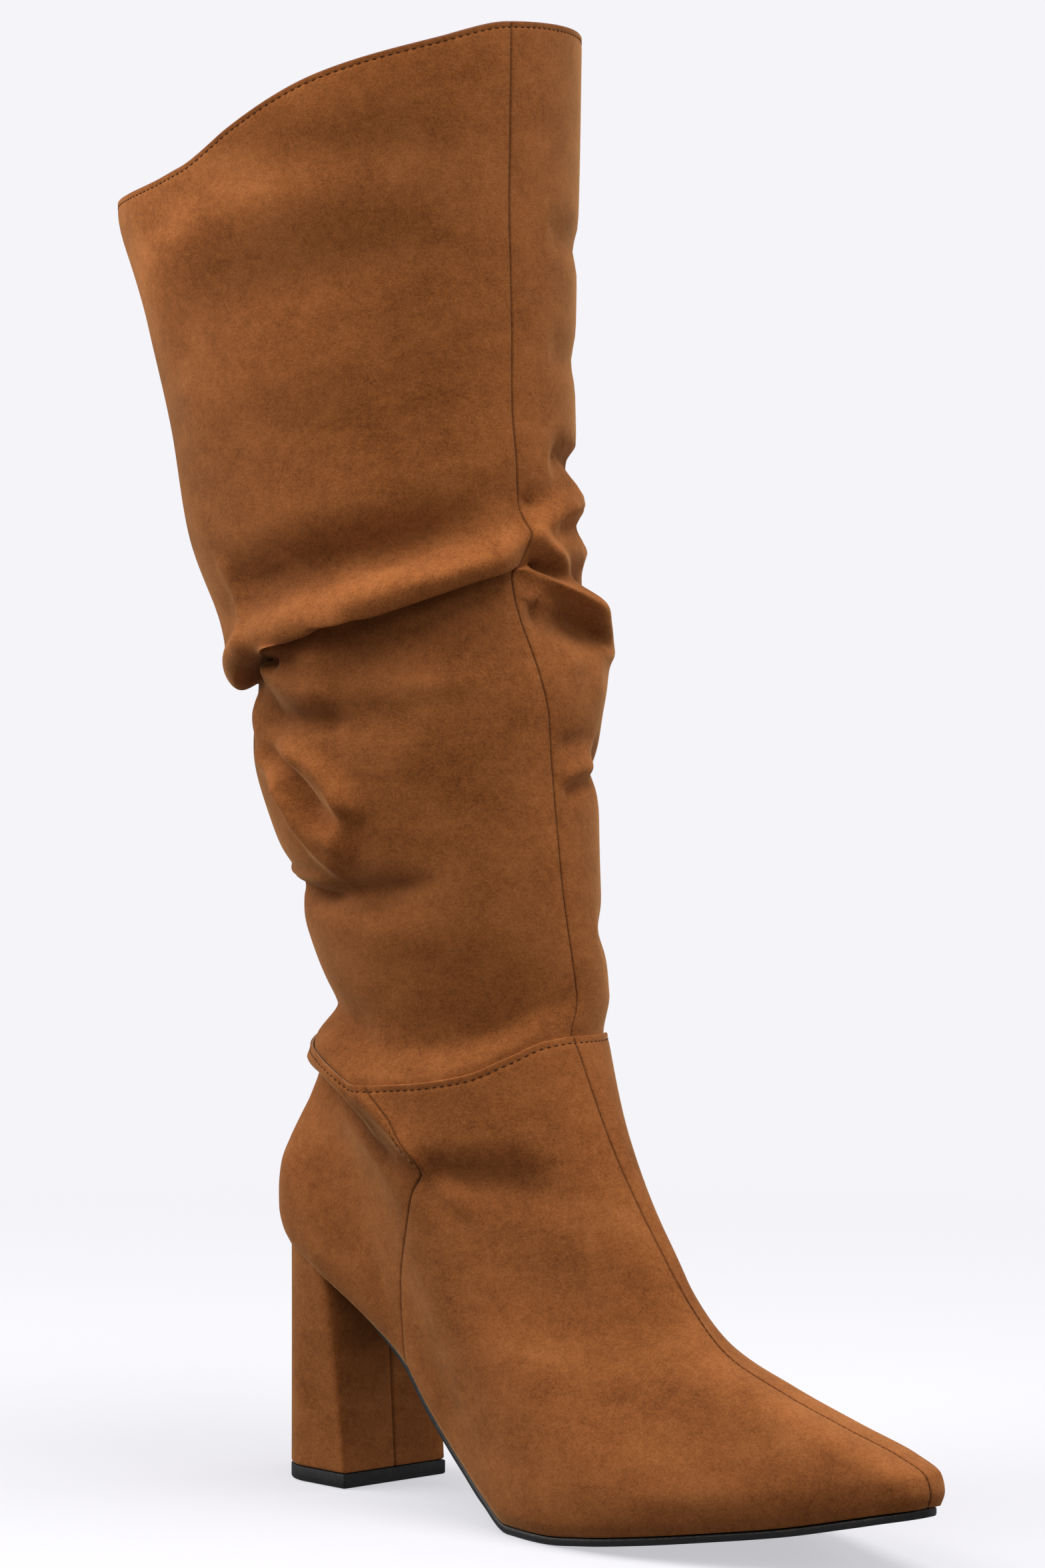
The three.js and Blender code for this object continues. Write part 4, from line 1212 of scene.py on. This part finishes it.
def make_stitches():
    collar = edge_path(shaft_outer, COLLAR_DROPS, pitch=2.4)
    stitches("collar_stitches", [collar], length=1.75, radius=0.24, sink=0.02)
    ankle = edge_path(foot_outer, EDGE_DROPS, pitch=2.4)
    stitches("ankle_stitches", [ankle], length=1.7, radius=0.24, sink=0.02)
    top = level_of(foot_outer, EDGE_DROPS, COUNTER_STITCH_DROP)
    rows = []
    for sign in (-1, 1):
        shift = -sign * COUNTER_STITCH_SHIFT
        path = column_path(foot_outer, foot_base, sign * COUNTER_BASE, 2, top, shift)
        rows.append(even_path(*path, pitch=2.3))
    stitches("counter_stitches", rows, length=1.5, radius=0.17, sink=0.05, thread=TAN_THREAD)
    path = column_path(foot_outer, foot_base, 0, *TOE_STITCH_LEVELS)
    stitches("toe_stitches", [even_path(*path, pitch=2.1)], length=1.4, radius=0.2, sink=-0.1)


make_stitches()

# Floor, lights and camera, in metres. Lights: name, place, target, size, watts.
WHITE = (0.913, 0.905, 0.947)
STAGE = 8
FLOOR_GREY = (0.3, 0.298, 0.308)
FLOOR_GLOW = 0.58
FLOOR_FADE = (0.25, 0.9)
FLOOR_SIDES = 96
FLOOR_DROP = 0.0002
LIGHTS = [
    ("left", (-0.95, -0.85, 1.3), (0, 0, 0.38), 1.5, 28),
    ("right", (1.1, 1.7, 1.1), (0.05, 0, 0.2), 1.5, 13),
    ("top", (0.45, 0.05, 1.7), (0.1, 0, 0.1), 1.0, 22),
    ("front", (1.5, -1.2, 1.4), (0, 0, 0.3), 1.4, 6),
]
WORLD_LIGHT = 0.3
CAMERA_PLACE = (0.9728, -0.8366, 0.218)
CAMERA_TILT = 89.673
CAMERA_TURN = 47
SENSOR_HEIGHT = 36
LENS = 96.4


def glow(tree, strength=1.0):
    return add_node(tree, "Emission", {"Color": (*WHITE, 1), "Strength": strength})


def show(tree, shader, surface):
    """Put a surface in the place of the first shader."""
    tree.links.new(surface, tree.nodes["Material Output"].inputs["Surface"])
    tree.nodes.remove(shader)


def add_stage(name, mesh, finish):
    """Object of the surroundings, which throws no light onto the boot."""
    mesh.materials.append(finish)
    obj = put(name, mesh)
    obj.visible_diffuse = False
    obj.visible_glossy = False
    return obj


def make_floor():
    """White floor that takes shadows near the boot and is even further away."""
    finish, tree, shader = nodes_of("floor")
    place = {0: add_node(tree, "TexCoord", {}, "Object")}
    away = add_node(tree, "VectorMath", place, "Value", operation="LENGTH")
    reach = {"Value": away, "From Min": FLOOR_FADE[0], "From Max": FLOOR_FADE[1]}
    grey = add_node(tree, "BsdfDiffuse", {"Color": (*FLOOR_GREY, 1)})
    near = add_node(tree, "AddShader", {0: grey, 1: glow(tree, FLOOR_GLOW)})
    fade = add_node(tree, "MapRange", reach)
    show(tree, shader, add_node(tree, "MixShader", {0: fade, 1: near, 2: glow(tree)}))
    mesh = bpy.data.meshes.new("floor")
    around = np.linspace(0, 2 * math.pi, FLOOR_SIDES, endpoint=False)
    points = [(STAGE * math.cos(a), STAGE * math.sin(a), -FLOOR_DROP) for a in around]
    mesh.from_pydata(points, [], [list(range(FLOOR_SIDES))])
    add_stage("floor", mesh, finish)


def make_backdrop():
    """White dome that only the camera sees, so that the lights alone shape the boot."""
    finish, tree, shader = nodes_of("backdrop")
    show(tree, shader, glow(tree))
    mesh = bpy.data.meshes.new("backdrop")
    dome = bmesh.new()
    bmesh.ops.create_uvsphere(dome, u_segments=64, v_segments=32, radius=STAGE)
    dome.to_mesh(mesh)
    dome.free()
    add_stage("backdrop", mesh, finish).visible_shadow = False


def make_light(name, place, target, size, watts):
    data = bpy.data.lights.new(name, "AREA")
    data.shape = "DISK"
    data.size = size
    data.energy = watts
    lamp = put(name, data)
    lamp.location = place
    way = np.subtract(target, place)
    tilt = math.acos(-way[2] / np.linalg.norm(way))
    lamp.rotation_euler = (tilt, 0, math.atan2(way[1], way[0]) - math.pi / 2)


def make_camera():
    data = bpy.data.cameras.new("camera")
    data.sensor_fit = "VERTICAL"
    data.sensor_height = SENSOR_HEIGHT
    data.lens = LENS
    camera = put("camera", data)
    camera.location = CAMERA_PLACE
    camera.rotation_euler = (math.radians(CAMERA_TILT), 0, math.radians(CAMERA_TURN))
    bpy.context.scene.camera = camera


make_floor()
make_backdrop()
for light in LIGHTS:
    make_light(*light)
world = bpy.data.worlds.new("studio")
world.use_nodes = True
background = world.node_tree.nodes["Background"]
background.inputs["Color"].default_value = (*WHITE, 1)
background.inputs["Strength"].default_value = WORLD_LIGHT
bpy.context.scene.world = world
bpy.context.scene.view_settings.view_transform = "Standard"
make_camera()
